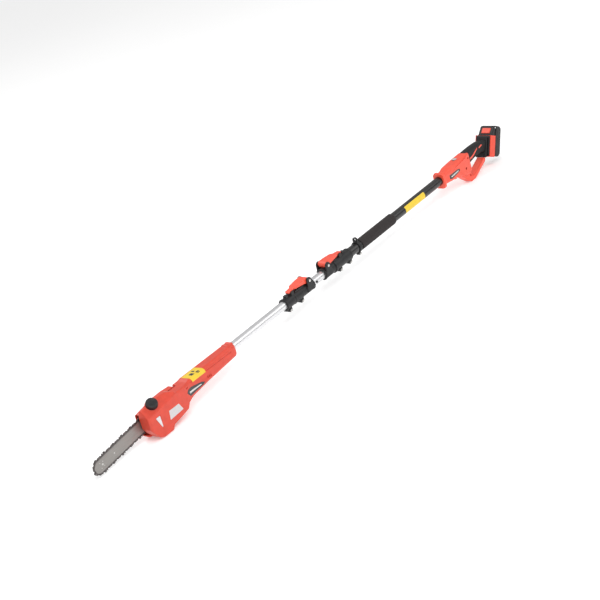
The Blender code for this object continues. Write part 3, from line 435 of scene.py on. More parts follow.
def decal(outline, starts, direction, skin, lift=0.0004, name="decal", step=0.003):
    """A thin film laid on a skin: outline in (a, b), starts maps it to points in front of the skin."""
    shape = bmesh.new()
    shape.faces.new([shape.verts.new((a, b, 0.0)) for a, b in outline])
    low = [min(p[axis] for p in outline) for axis in (0, 1)]
    high = [max(p[axis] for p in outline) for axis in (0, 1)]
    for axis in (0, 1):
        count = max(1, int((high[axis] - low[axis]) / step))
        for index in range(1, count):
            point = [0.0, 0.0, 0.0]
            point[axis] = low[axis] + (high[axis] - low[axis]) * index / count
            normal = [0.0, 0.0, 0.0]
            normal[axis] = 1.0
            bmesh.ops.bisect_plane(shape, geom=shape.verts[:] + shape.edges[:] + shape.faces[:],
                                   plane_co=point, plane_no=normal, dist=1e-7)
    way = POLE.to_3x3() @ Vector(direction).normalized()
    for vert in shape.verts:
        start = POLE @ Vector(starts(vert.co.x, vert.co.y))
        hit = skin.ray_cast(start, way)[0]
        vert.co = (hit if hit is not None else start + way * 0.07) - way * lift
    grown = bmesh.ops.extrude_face_region(shape, geom=shape.faces[:])
    moved = {item for item in grown["geom"] if isinstance(item, bmesh.types.BMVert)}
    for vert in moved:
        vert.co += way * lift * 2.0
    return built(name, shape, WORLD)


def left(a, b):
    """A start for a decal in front of the tool's left side."""
    return (a, -LEFT_START, b)


def left_film(name, body, slot, outline, tree, lift=0.0004, material=None):
    """A film on the tool's left side, with its outline in (u, z)."""
    finish(decal(outline, left, (0, 1, 0), tree, lift, name), name, body, slot, material=material)


def hex_bolt(axis, start, radius, height, name, at=POLE):
    """A round socket-head screw: domed rim, hexagon recess."""
    head = lathe([(0.0, 0.0), (radius, 0.0), (radius, height * 0.75), (radius * 0.86, height),
                  (0.0, height)], axis, start, 40, at, name, closed=False)
    recess = rod(axis, Vector(start) + Vector({"X": (1, 0, 0), "Y": (0, 1, 0), "Z": (0, 0, 1)}[axis])
                 * height * 0.45, height, radius * 0.5, steps=6, at=at)
    return cut(head, recess)


# --- saw head -----------------------------------------------------------------------------------
HEAD_SECTIONS = [
    (-0.4300, -0.0300, 0.0060, -0.0330, 0.0060, 0.0040),
    (-0.4240, -0.0340, 0.0060, -0.0460, 0.0240, 0.0050),
    (-0.4060, -0.0340, 0.0060, -0.0700, 0.0270, 0.0055),
    (-0.3900, -0.0340, 0.0060, -0.0775, 0.0290, 0.0055),
    (-0.3530, -0.0340, 0.0060, -0.0775, 0.0310, 0.0055),
    (-0.3440, -0.0340, 0.0060, -0.0655, 0.0310, 0.0055),
    (-0.3250, -0.0340, 0.0060, -0.0630, 0.0300, 0.0055),
    (-0.3080, -0.0337, 0.0060, -0.0605, 0.0240, 0.0055),
    (-0.3000, -0.0334, 0.0060, -0.0595, 0.0170, 0.0055),
    (-0.2720, -0.0305, 0.0060, -0.0560, 0.0155, 0.0055),
    (-0.2640, -0.0297, 0.0060, -0.0460, 0.0151, 0.0055),
    (-0.2625, -0.0292, 0.0235, -0.0435, 0.0150, 0.0060),
    (-0.2440, -0.0265, 0.0245, -0.0395, 0.0150, 0.0090),
    (-0.2300, -0.0245, 0.0245, -0.0380, 0.0180, 0.0100),
    (-0.1570, -0.0235, 0.0235, -0.0315, 0.0178, 0.0105),
    (-0.0260, -0.0215, 0.0215, -0.0250, 0.0174, 0.0110),
    (-0.0200, -0.0195, 0.0195, -0.0225, 0.0158, 0.0110),
]
HEAD_WALL = 0.0026
SPROCKET = (-0.3, -0.013)
BAR_TILT = math.radians(5.4)
BAR_Y = 0.0115
BAR_HALF = 0.019
BAR_REAR = 0.043                  # the bar's rounded ends are centred here and at NOSE
NOSE = 0.3118
STUDS = (0.052, 0.078)
HEAD_VOXEL = 0.0011
FILLER_R = 0.0098


def along_bar(distance, across=0.0):
    """A place (u, z) on the bar, measured forward from the sprocket's axis."""
    return (SPROCKET[0] - distance * math.cos(BAR_TILT) - across * math.sin(BAR_TILT),
            SPROCKET[1] - distance * math.sin(BAR_TILT) + across * math.cos(BAR_TILT))


def stadium(near, far, radius, steps=32):
    """An outline along the bar with half-round ends centred at two distances."""
    points = []
    for centre, first in ((far, 90.0), (near, 270.0)):
        for step in range(steps + 1):
            angle = math.radians(first + 180.0 * step / steps)
            points.append(along_bar(centre - radius * math.cos(angle), radius * math.sin(angle)))
    return points


def side_slot(u, z, length, height, side, depth=0.003, lean=0.0, outer=0.0245):
    """A cutter for a short dark vent on the neck's side."""
    return prism([(u, z), (u + length, z + lean), (u + length, z + lean + height), (u, z + height)],
                 *span(side, outer - depth, outer + 0.02))


def build_head():
    body = fuse("head_form", [loft(HEAD_SECTIONS)], HEAD_VOXEL)
    cut(body, block((-0.075, -0.06, 0.0), (0.078, 0.045, 0.05), DECK))
    lug = prism([(-0.047, 0.01), (-0.044, 0.0195), (-0.04, 0.0212), (-0.034, 0.019),
                 (-0.028, 0.0187), (-0.0215, 0.0205), (-0.0185, 0.019), (-0.018, 0.01)],
                -0.0125, 0.0125, name="rear_lug")
    seat = lathe([(0.0, -0.004), (0.0205, -0.004), (0.0205, 0.0006), (0.0, 0.0006)], steps=64, at=DECK,
                 closed=False, name="cap_seat")
    body = fuse("head_form", [body, lug, seat], HEAD_VOXEL, 7)
    for side in (-1, 1):
        near, far = span(side, 0.0232, 0.034), span(side, 0.0206, 0.034)
        cut(body, hexa([(-0.233, near[0], 0.0094), (-0.233, near[1], 0.0094),
                        (-0.233, near[1], 0.0074), (-0.233, near[0], 0.0074),
                        (-0.042, far[0], 0.0026), (-0.042, far[1], 0.0026),
                        (-0.042, far[1], 0.001), (-0.042, far[0], 0.001)]))
        for u, z, outer in ((-0.164, -0.019, 0.0236), (-0.157, -0.0196, 0.0235),
                            (-0.15, -0.0202, 0.0234)):
            cut(body, side_slot(u, z, 0.0042, 0.0078, side, 0.003, 0.001, outer))
    for u, z, outer in ((-0.259, 0.0005, 0.029), (-0.249, -0.0385, 0.0272)):
        cut(body, side_slot(u, z, 0.0085, 0.0042, -1, 0.0032, 0.0012, outer))
    cut(body, prism([(-0.4052, -0.0068), (-0.3838, -0.0068), (-0.3848, -0.0452), (-0.3915, -0.0452)],
                    -0.05, -0.0328))
    skin = copy_of(body, "head_skin")
    hollow = loft(shrunk(HEAD_SECTIONS, HEAD_WALL + 0.0008))
    cut(hollow, block((-0.08, -0.08, -HEAD_WALL), (0.085, 0.06, 0.06), DECK))
    cut(body, hollow, rod("X", (-0.06, 0.0, 0.0), 0.08, TUBE_R + TUBE_GAP, steps=64),
        rod("Z", (0.0, 0.0, -0.04), 0.08, FILLER_R, at=DECK))
    for name, side in (("head_shell_left", -1), ("head_shell_right", 1)):
        near, far = span(side, SPLIT_GAP, 0.2)
        shell = keep(copy_of(body, name + "_moulding"), block((-0.7, near, -0.2), (1.6, far, 0.2)))
        if side > 0:
            for distance in STUDS:
                u, z = along_bar(distance)
                cut(shell, rod("Y", (u, 0.001, z), 0.01, 0.0033))
            cut(shell, rod("Y", (SPROCKET[0], 0.001, SPROCKET[1]), 0.01, 0.0083))
        finish(shell, name + "_moulding", "head", "orange_plastic", [name])
    drop(body)
    return skin


def build_head_marks(skin):
    tree = tree_of(skin)
    left_film("head_badge", "head", "black_plastic",
              [(-0.26, -0.011), (-0.252, -0.0042), (-0.24, -0.003), (-0.19, -0.0135),
               (-0.178, -0.0205), (-0.186, -0.0245), (-0.238, -0.027), (-0.25, -0.0262)],
              tree, material=BADGE)
    left_film("head_badge_inlay", "head", "grey_plastic",
              [(-0.249, -0.0125), (-0.195, -0.0175), (-0.1945, -0.0205), (-0.248, -0.019)],
              tree, INLAY_LIFT, INLAY)
    left_film("rating_plate", "head", "aluminium",
              [(-0.349, -0.015), (-0.307, -0.016), (-0.296, -0.04), (-0.354, -0.042)],
              tree, material=SILVER_LABEL)
    way = Vector((0.0, 0.5, -0.866))
    across = Vector((0.0, -0.866, -0.5))

    def above(a, b):
        return Vector((a, 0.0, 0.017)) + across * b - way * 0.08
    label = decal([(-0.23, -0.012), (-0.17, -0.012), (-0.164, 0.027), (-0.224, 0.027)], above,
                  way, tree, name="neck_label")
    finish(label, "neck_label", "head", "orange_plastic", material=YELLOW_LABEL)
    for index, (first, last, near, far) in enumerate((
            (-0.212, -0.2, 0.0000, 0.012), (-0.193, -0.187, -0.006, 0.004),
            (-0.192, -0.181, 0.009, 0.018))):
        mark = decal([(first, near), (last, near), (last + 0.001, far), (first + 0.001, far)], above, way,
                     tree, INLAY_LIFT, "neck_label_block_%d" % (index + 1))
        finish(mark, "neck_label_block_%d" % (index + 1), "head", "black_plastic", material=BADGE)
    drop(skin)


def build_cover():
    cover = melt(from_node("sprocket_cover"), 0.0009, 4)
    for index in range(4):
        u = -0.345 + index * 0.012
        cut(cover, prism([(u, -0.003), (u + 0.0035, -0.003), (u + 0.0005, -0.033),
                          (u - 0.003, -0.033)], 0.029, 0.04))
    finish(cover, "sprocket_cover_moulding", "head", "orange_plastic", ["sprocket_cover"])
    for name, distance in zip(("rear", "front"), STUDS):
        u, z = along_bar(distance)
        nut = lathe([(0.0033, 0.0), (0.0033, 0.0054), (0.0058, 0.0054), (0.0066, 0.0048), (0.0068, 0.0),
                     ], "Y", (u, 0.0309, z), 6, name="nut")
        washer = ring("Y", (u, 0.0308, z), 0.0012, 0.0085, 0.0033, 48, chamfer=0.0003)
        detail = "bar_nut_%s_detail" % name
        finish(joined(detail, [nut, washer]), detail, "head", "steel", ["bar_nut_" + name], angle=25.0)


def build_bar():
    bar = prism(stadium(BAR_REAR, NOSE, BAR_HALF), BAR_Y - 0.002, BAR_Y + 0.002)
    bevel(bar, 0.0004)
    groove = prism(stadium(BAR_REAR - 0.003, NOSE, 0.021), BAR_Y - 0.0008, BAR_Y + 0.0008)
    cut(groove, prism(stadium(BAR_REAR, NOSE, 0.0115), BAR_Y - 0.01, BAR_Y + 0.01))
    slot = prism(stadium(STUDS[0] - 0.004, STUDS[1] + 0.004, 0.0034, 12), 0.0, 0.03)
    cut(bar, groove, slot)
    for across in (-0.0105, 0.0105):
        u, z = along_bar(0.06, across)
        cut(bar, rod("Y", (u, 0.0, z), 0.03, 0.0028))
    finish(bar, "guide_bar_detail", "head", "bar_steel", ["guide_bar"], angle=30.0)
    rivets = []
    for distance, across, radius in ((0.249, 0.0, 0.0022), (NOSE - 0.012, 0.0, 0.003),
                                     (NOSE - 0.016, 0.0075, 0.0014), (NOSE - 0.016, -0.0075, 0.0014),
                                     (NOSE - 0.004, 0.0085, 0.0014), (NOSE - 0.004, -0.0085, 0.0014)):
        u, z = along_bar(distance, across)
        rivets.append(lathe([(0.0, -0.0023), (radius * 0.7, -0.0023), (radius, -0.0021),
                             (radius, 0.0021), (radius * 0.7, 0.0023), (0.0, 0.0023)], "Y",
                            (u, BAR_Y, z), 24, closed=False))
    finish(joined("bar_rivets", rivets), "bar_rivets", "head", "steel")


CHAIN_LINKS = 80
CHAIN_R = BAR_HALF + 0.0003 + 0.003       # rivets run this far from the bar's middle line
TIE = [(-0.0076, 0.0), (-0.0068, 0.0021), (-0.0048, 0.0028), (0.0, 0.0023), (0.0048, 0.0028),
       (0.0068, 0.0021), (0.0076, 0.0), (0.0068, -0.0021), (0.0048, -0.0029), (-0.0048, -0.0029),
       (-0.0068, -0.0021)]
DRIVE = [(-0.0074, 0.0006), (-0.006, 0.0026), (-0.0038, 0.0027), (0.0, 0.0012), (0.0038, 0.0027),
         (0.006, 0.0026), (0.0074, 0.0006), (0.007, -0.0018), (0.004, -0.0032), (0.0014, -0.007),
         (-0.0018, -0.007), (-0.0036, -0.0034), (-0.007, -0.0018)]
CUTTER = [(-0.0076, 0.0), (-0.007, 0.004), (-0.0058, 0.005), (0.0012, 0.0052), (0.0004, 0.003),
          (0.001, 0.0014), (0.0028, 0.0014), (0.004, 0.0044), (0.0062, 0.0042), (0.0074, 0.0018),
          (0.0074, -0.0012), (0.0048, -0.0029), (-0.0048, -0.0029), (-0.0068, -0.0021)]


def chain_point(s):
    """Distance and height on the chain's path, from the top above the sprocket."""
    arc = math.pi * CHAIN_R
    total = 2.0 * (NOSE + arc)
    s %= total
    if s < NOSE:
        return s, CHAIN_R
    if s < NOSE + arc:
        angle = (s - NOSE) / CHAIN_R
        return NOSE + CHAIN_R * math.sin(angle), CHAIN_R * math.cos(angle)
    if s < 2.0 * NOSE + arc:
        return NOSE - (s - NOSE - arc), -CHAIN_R
    angle = (s - 2.0 * NOSE - arc) / CHAIN_R
    return -CHAIN_R * math.sin(angle), -CHAIN_R * math.cos(angle)


def build_chain():
    """Drive links, tie straps and cutters on their rivets, round the bar."""
    shape = bmesh.new()
    pitch = 2.0 * (NOSE + math.pi * CHAIN_R) / CHAIN_LINKS

    def plate(points, origin, forward, outward, low, high, bright=False):
        near, far = [], []
        for x, h in points:
            d = origin + forward * x + outward * h
            u, z = along_bar(d.x, d.y)
            near.append(shape.verts.new((u, BAR_Y + low, z)))
            far.append(shape.verts.new((u, BAR_Y + high, z)))
        faces = [shape.faces.new(near), shape.faces.new(list(reversed(far)))]
        for index in range(len(points)):
            after = (index + 1) % len(points)
            faces.append(shape.faces.new((near[after], near[index], far[index], far[after])))
        for face in faces:
            face.material_index = 1 if bright else 0

    for index in range(CHAIN_LINKS):
        first = Vector(chain_point(index * pitch))
        last = Vector(chain_point((index + 1) * pitch))
        middle, forward = (first + last) / 2.0, (last - first).normalized()
        outward = Vector((-forward.y, forward.x))
        kind = index % 4
        if kind in (0, 2):
            plate(DRIVE, middle, forward, outward, -0.0006, 0.0006)
        else:
            side = 1 if (index // 4) % 2 else -1
            if kind == 1:
                plate(CUTTER, middle, forward, outward, *span(side, 0.0009, 0.0021),
                      bright=True)
                plate([(-0.0058, 0.004), (0.0012, 0.0044), (0.0012, 0.0052), (-0.0058, 0.005)],
                      middle, forward, outward, *span(side, 0.0021, -0.0008), bright=True)
                plate(TIE, middle, forward, outward, *span(-side, 0.0009, 0.002))
            else:
                for way in (-1, 1):
                    plate(TIE, middle, forward, outward, *span(way, 0.0009, 0.002))
        rivet = [(0.0015 * math.cos(a), 0.0015 * math.sin(a))
                 for a in (2.0 * math.pi * k / 12 for k in range(12))]
        plate(rivet, first, forward, outward, -0.0025, 0.0025)
    chain = built("saw_chain_links", shape)
    finish(chain, "saw_chain_links", "head", "chain_steel", ["saw_chain"], angle=30.0)
    chain.data.materials.append(CUTTER_STEEL)


def build_cap():
    tall = 0.0135
    profile = [(0.0, 0.0108), (0.004, 0.0108), (0.004, 0.0008), (0.0176, 0.0008), (0.0183, 0.0014),
               (0.0183, 0.004), (0.0183, tall - 0.0026), (0.0178, tall - 0.001),
               (0.0168, tall - 0.0002), (0.015, tall), (0.014, tall - 0.0006),
               (0.006, tall - 0.0009), (0.0, tall - 0.0009)]
    cap = lathe(profile, "Z", (0, 0, 0), 216, DECK, "oil_cap", ribs=(5, 6, 36, 0.0009), closed=False)
    bar = fuse("cap_bar", [block((-0.0135, -0.0022, tall - 0.003), (0.0135, 0.0022, tall), DECK)],
               0.0005, 2)
    finish(joined("oil_cap_ribbed", [cap, bar]), "oil_cap_ribbed", "oil_cap", "black_plastic",
           ["oil_cap"])


head_skin = build_head()
build_head_marks(head_skin)
build_cover()
build_bar()
build_chain()
build_cap()


# --- tubes, coupling, clamp, strap ring and foam grip -------------------------------------------
WALL = 0.0012                     # of the three tubes
EAR_Z = 0.026                     # height of the lever pins
LEVER_HALF = 0.0158
SNAP_U = 0.4
RING_BOLT_U = 0.639
REAR_BORE = 0.0163                # of the pieces that hold the rear tube
LUG_BOLT_Z = -0.0218
PIN_HOLE_R = 0.0028


def build_tubes():
    for node, body, slot in (("front_tube", "head", "aluminium"), ("middle_tube", "pole", "aluminium"),
                             ("rear_tube", "root", "black_tube")):
        first, last = u_range(node)
        low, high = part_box(node)
        radius = (high.z - low.z) / 2.0
        tube = ring("X", (first, 0.0, 0.0), last - first, radius, radius - WALL, 96, chamfer=0.0003)
        if node == "middle_tube":
            cut(tube, rod("Y", (SNAP_U, -0.03, 0.0), 0.03, 0.0046))
        finish(tube, node + "_drawn", body, slot, [node])
    button = lathe([(0.0, 0.0), (0.003, 0.0), (0.004, 0.0008), (0.0042, 0.0018), (0.0042, 0.0055),
                    (0.006, 0.0055), (0.006, 0.007), (0.0, 0.007)], "Y", (SNAP_U, -0.0165, 0.0), 40,
                   closed=False)
    finish(button, "snap_button_domed", "snap_button", "black_plastic", ["snap_button"])


def ear(pin_u, side):
    """One upright plate that carries a lever's pin."""
    points = [(pin_u - 0.016, -0.004), (pin_u - 0.0125, 0.012), (pin_u - 0.0113, EAR_Z)]
    for step in range(9):
        angle = math.radians(170.0 - 160.0 * step / 8)
        points.append((pin_u + 0.0115 * math.cos(angle), EAR_Z + 0.0115 * math.sin(angle)))
    points += [(pin_u + 0.0125, 0.012), (pin_u + 0.016, -0.004)]
    near, far = span(side, LEVER_HALF + 0.0009, LEVER_HALF + 0.0056)
    return prism(points, near, far)


def clamp(name, body, pin_u, facing, rims, collars, bores, lugs):
    """A moulded clamp: collars with rims, ears for the lever's pin, hook, lugs and ribs."""
    kind = name.split("_")[0]
    parts = [rod("X", (first, 0.0, 0.0), last - first, radius, steps=64)
             for first, last, radius in collars]
    parts += [ear(pin_u, -1), ear(pin_u, 1)]
    parts.append(block((pin_u - 0.016, -LEVER_HALF - 0.0055, -0.008),
                       (pin_u + 0.016, LEVER_HALF + 0.0055, 0.01)))
    near, far = span(facing, 0.014, 0.062, pin_u)
    parts.append(block((near, -0.01, 0.008), (far, 0.01, 0.0212)))
    near, far = span(facing, 0.094, 0.106, pin_u)
    parts.append(block((near, -0.006, 0.01), (far, 0.006, 0.025)))
    near, far = span(facing, 0.0705, 0.0835, pin_u)
    hook = block((near, -0.0122, 0.0105), (far, 0.0122, EAR_Z + 0.0036))
    cut(hook, block((near - 0.01, -0.009, EAR_Z - 0.0029), (far + 0.01, 0.009, 0.06)))
    parts.append(hook)
    for u in (pin_u + facing * offset for offset in lugs):
        parts.append(prism([(u - 0.009, -0.005), (u - 0.009, -0.0225), (u - 0.005, -0.0265),
                            (u + 0.005, -0.0265), (u + 0.009, -0.0225), (u + 0.009, -0.005)],
                           -0.0135, 0.0135))
    parts += [rod("X", (first, 0.0, 0.0), last - first, radius, steps=64)
              for first, last, radius in rims]
    form = fuse(name, parts, 0.0006, 3)
    for low, high, radius in bores:
        cut(form, rod("X", (low, 0.0, 0.0), high - low, radius, steps=64))
    near, far = span(facing, 0.026, 0.15, pin_u)
    cut(form, block((near, -0.0012, -0.05), (far, 0.0012, -0.005)),
        rod("Y", (pin_u, -0.04, EAR_Z), 0.08, PIN_HOLE_R))
    for index, u in enumerate(pin_u + facing * offset for offset in lugs):
        cut(form, rod("Y", (u, -0.03, LUG_BOLT_Z), 0.06, 0.0024))
        bolt = kind + "_bolt_%d" % (index + 1)
        shank = lathe([(0.0, 0.0008), (0.0022, 0.0008), (0.0022, 0.0), (0.004, 0.0), (0.0042, 0.0006),
                       (0.0042, 0.003), (0.002, 0.0034), (0.002, 0.031), (0.0036, 0.031),
                       (0.0036, 0.0342), (0.0, 0.0342)], "Y", (u, -0.0172, LUG_BOLT_Z), 36, closed=False)
        finish(shank, bolt + "_socket", body, "steel", [bolt], angle=25.0)
    finish(form, name + "_moulding", body, "black_plastic", [name])
    pin = lathe([(0.0, 0.0), (0.0034, 0.0), (0.0045, 0.001), (0.0046, 0.003), (0.0025, 0.0032),
                 (0.0025, 0.0466), (0.002, 0.0477), (0.0, 0.0477)], "Y", (pin_u, -0.0248, EAR_Z), 36,
                closed=False)
    finish(pin, kind + "_lever_pin_domed", body, "steel", [kind + "_lever_pin"])


def lever(node, body, pin_u, facing):
    """The wide locking lever with a rounded plate, side skirts and a narrow tongue."""
    f = facing
    heights = [(-0.0065, 0.003), (-0.005, 0.0085), (0.002, 0.0125), (0.025, 0.0118), (0.058, 0.0085),
               (0.07, 0.0066), (0.09, 0.004), (0.09, -0.0005), (0.056, 0.003),
               (0.02, -0.002), (0.006, -0.0062), (-0.004, -0.006)]
    side = [(pin_u + f * along, EAR_Z + up) for along, up in heights]
    form = prism(side, -LEVER_HALF, LEVER_HALF)
    plan = [(pin_u + f * along, across) for along, across in (
        (-0.01, -0.0158), (0.055, -0.0158), (0.06, -0.0148), (0.063, -0.0112), (0.0645, -0.0085),
        (0.0875, -0.0085), (0.09, -0.006))]
    plan += [(u, -y) for u, y in reversed(plan)]
    keep(form, prism(plan, 0.0, 0.08, "XY"))
    near, far = span(f, 0.013, 0.059, pin_u)
    cut(form, block((near, -LEVER_HALF + 0.003, 0.0), (far, LEVER_HALF - 0.003, EAR_Z + 0.003)))
    melt(form, 0.0006, 4)
    for index in range(5):
        u = pin_u + f * (0.034 + 0.005 * index)
        cut(form, rod("Y", (u, -0.0125, EAR_Z + 0.0122 - 0.0005 * index), 0.025, 0.0014, steps=20))
    cut(form, rod("Y", (pin_u, -0.03, EAR_Z), 0.06, PIN_HOLE_R))
    finish(form, node + "_moulding", body, "lever_orange", [node])


def build_ring_and_grip():
    soften("strap_ring", "moulding", "root", "black_plastic", 0.0005, 3)
    bolt = lathe([(0.0, 0.0), (0.004, 0.0), (0.0042, 0.0006), (0.0042, 0.003), (0.002, 0.0034),
                  (0.002, 0.0175), (0.0036, 0.0175), (0.0036, 0.0209), (0.0, 0.0209)], "Y",
                 (RING_BOLT_U, -0.0105, -0.0232), 36, closed=False)
    finish(bolt, "ring_bolt_socket", "root", "steel", ["ring_bolt"], angle=25.0)
    first, last = u_range("foam_grip")
    length = last - first
    radius = 0.0195
    profile = [(REAR_BORE, 0.0), (REAR_BORE, length), (radius - 0.0022, length),
               (radius - 0.0008, length - 0.0006), (radius, length - 0.0024)]
    for step in range(1, 40):
        place = length * (1.0 - step / 40.0)
        profile.append((radius - 0.00012 - 0.00012 * math.sin(step * 1.7), place))
    profile += [(radius, 0.0024), (radius - 0.0008, 0.0006), (radius - 0.0022, 0.0)]
    sleeve = lathe(profile, "X", (first, 0.0, 0.0), 96)
    finish(sleeve, "foam_grip_sleeve", "root", "foam", ["foam_grip"])


COUPLING_PIN, CLAMP_PIN = 0.361, 0.462
build_tubes()
clamp("coupling_body", "pole", COUPLING_PIN, -1,
      [(0.243, 0.2465, 0.02), (0.285, 0.289, 0.02)],
      [(0.243, 0.325, 0.0188), (0.32, 0.386, 0.0183), (0.382, 0.386, 0.0193)],
      [(0.2, 0.319, TUBE_R + TUBE_GAP), (0.321, 0.45, TUBE_R + TUBE_GAP), (0.3, 0.34, 0.0125)],
      (0.046, 0.107))
clamp("clamp_body", "root", CLAMP_PIN, 1,
      [(0.446, 0.4495, 0.02), (0.584, 0.588, 0.021)],
      [(0.446, 0.512, 0.0188), (0.502, 0.588, 0.02), (0.498, 0.503, 0.0222)],
      [(0.4, 0.527, TUBE_R + 0.0016), (0.525, 0.66, REAR_BORE)], (0.061, 0.114))
lever("coupling_lever", "coupling_lever", COUPLING_PIN, -1)
lever("clamp_lever", "clamp_lever", CLAMP_PIN, 1)
build_ring_and_grip()


# --- rear handle --------------------------------------------------------------------------------
def even(u, half, z_low, z_high, radius):
    return (u, -half, half, z_low, z_high, radius)


HOUSING = [
    even(1.133, 0.022, -0.029, 0.0265, 0.012), even(1.142, 0.0228, -0.03, 0.028, 0.012),
    even(1.146, 0.0195, -0.0205, 0.02, 0.0105), even(1.165, 0.0195, -0.022, 0.0215, 0.0105),
    even(1.185, 0.0212, -0.0245, 0.027, 0.0105), even(1.23, 0.0222, -0.028, 0.029, 0.0105),
    even(1.25, 0.0222, -0.037, 0.0295, 0.01), even(1.27, 0.0218, -0.044, 0.0295, 0.0095),
    even(1.295, 0.0205, -0.045, 0.03, 0.0085), even(1.306, 0.019, -0.041, 0.029, 0.008)]
GRIP = [
    even(1.29, 0.017, -0.02, 0.03, 0.008), even(1.322, 0.0165, -0.0105, 0.032, 0.009),
    even(1.352, 0.016, -0.008, 0.0325, 0.009), even(1.39, 0.017, -0.009, 0.03, 0.009),
    even(1.432, 0.0185, -0.026, 0.022, 0.009)]
LOOP = [(1.248, -0.03), (1.248, -0.038), (1.274, -0.062), (1.294, FLOOR_Z), (1.318, FLOOR_Z),
        (1.41, -0.0402), (1.41, -0.0245), (1.32, -0.063), (1.306, -0.059), (1.3, -0.044),
        (1.3, -0.03)]
OVERMOULD = 0.002
SCREWS = ((1.296, 0.012, 0.0205), (1.272, -0.017, 0.0218), (1.295, -0.054, 0.0155))
SCREW_HEAD_R = 0.0044             # each screw above is (u, z, half width of the handle there)
SCREW_SUNK = 0.0062


def dock_end():
    """A cutter for what would reach behind the battery dock's seat."""
    return block((-0.0078, -0.06, -0.0453), (0.06, 0.06, 0.08), DOCK)


def trigger_slot(extra=0.0):
    """A cutter for the opening under the grip that the trigger moves in."""
    return block((1.3045 - extra, -0.0066 - extra, -0.03), (1.376 + extra, 0.0066 + extra, 0.0000))


def build_handle():
    housing = fuse("housing_form", [loft(HOUSING)], 0.0009, 5)
    loop = bevel(prism(LOOP, -0.0155, 0.0155), 0.0014)
    core = loft(shrunk(GRIP, OVERMOULD + 0.0003))
    knob = prism([(1.213, -0.022), (1.214, -0.0325), (1.223, -0.0335), (1.228, -0.026)],
                 -0.0085, 0.0085)
    form = fuse("handle_form", [housing, core, loop, fuse("knob", [knob], 0.0008, 3)], 0.0008, 1)
    for side in (-1, 1):
        near, far = span(side, 0.0192, 0.04)
        for first, last, low, high, half in ((1.188, 1.218, 0.0085, 0.0165, 0.0007),
                                             (1.218, 1.288, 0.0165, 0.0225, 0.0012)):
            cut(form, hexa([(first, near, low + half), (first, far, low + half),
                            (first, far, low - half), (first, near, low - half),
                            (last, near, high + half), (last, far, high + half),
                            (last, far, high - half), (last, near, high - half)]))
    for u, z, y in SCREWS:
        cut(form, rod("Y", (u, -y - 0.02, z), 0.026, SCREW_HEAD_R))
    cut(form, loft(shrunk(HOUSING[4:], 0.0032)),
        rod("X", (1.1, 0.0, 0.0), 0.1625, REAR_BORE, steps=64),
        block((1.285, -0.0095, -0.006), (1.38, 0.0095, 0.019)), trigger_slot(),
        block((1.2348, -0.0033, 0.02), (1.2474, 0.0033, 0.04)),
        rod("Y", (1.3125, -0.0125, -0.002), 0.025, 0.0018), dock_end(),
        block((-0.0003, -0.06, -0.08), (0.06, 0.06, 0.0), DOCK))
    skin = copy_of(form, "handle_skin")
    for name, side in (("handle_shell_left", -1), ("handle_shell_right", 1)):
        near, far = span(side, SPLIT_GAP, 0.1)
        shell = keep(copy_of(form, name + "_moulding"), block((1.05, near, -0.12), (1.5, far, 0.12)))
        finish(shell, name + "_moulding", "root", "orange_plastic", [name],
               material=FINISH["lever_orange"])
    drop(form)
    heads = [hex_bolt("Y", (u, -y + SCREW_SUNK, z), SCREW_HEAD_R, -0.0016, "screw")
             for u, z, y in SCREWS]
    finish(joined("handle_screws", heads), "handle_screws", "root", "black_plastic", angle=25.0)
    tree = tree_of(skin)
    left_film("handle_badge", "root", "black_plastic",
              [(1.172, 0.003), (1.218, 0.004), (1.233, 0.001), (1.233, -0.006),
               (1.215, -0.01), (1.18, -0.0135), (1.17, -0.01)], tree, material=BADGE)
    left_film("handle_badge_inlay", "root", "grey_plastic",
              [(1.18, -0.0035), (1.224, -0.001), (1.224, -0.0045), (1.18, -0.008)],
              tree, INLAY_LIFT, INLAY)
    drop(skin)


def build_overmould():
    outer = fuse("overmould", [loft(GRIP)], 0.0008, 5)
    cut(outer, loft(shrunk(GRIP, OVERMOULD)), dock_end(), trigger_slot(0.0006))
    keep(outer, prism([(1.3075, -0.03), (1.3085, 0.006), (1.299, 0.02), (1.293, 0.05),
                       (1.47, 0.05), (1.47, -0.05), (1.33, -0.05)], -0.04, 0.04))
    tree = tree_of(outer)
    finish(outer, "grip_overmould_skin", "root", "soft_black", ["grip_overmould"])
    for name, outline in (
            ("grip_stripe_long", [(1.311, 0.005), (1.331, 0.0075), (1.346, 0.0135), (1.364, 0.02),
                                  (1.365, 0.0175), (1.352, 0.01), (1.34, 0.0045), (1.326, 0.0000),
                                  (1.311, -0.0015)]),
            ("grip_stripe_short", [(1.373, 0.016), (1.388, 0.021), (1.395, 0.019),
                                   (1.393, 0.016), (1.376, 0.0125)])):
        left_film(name, "root", "lever_orange", outline, tree, 0.0005)


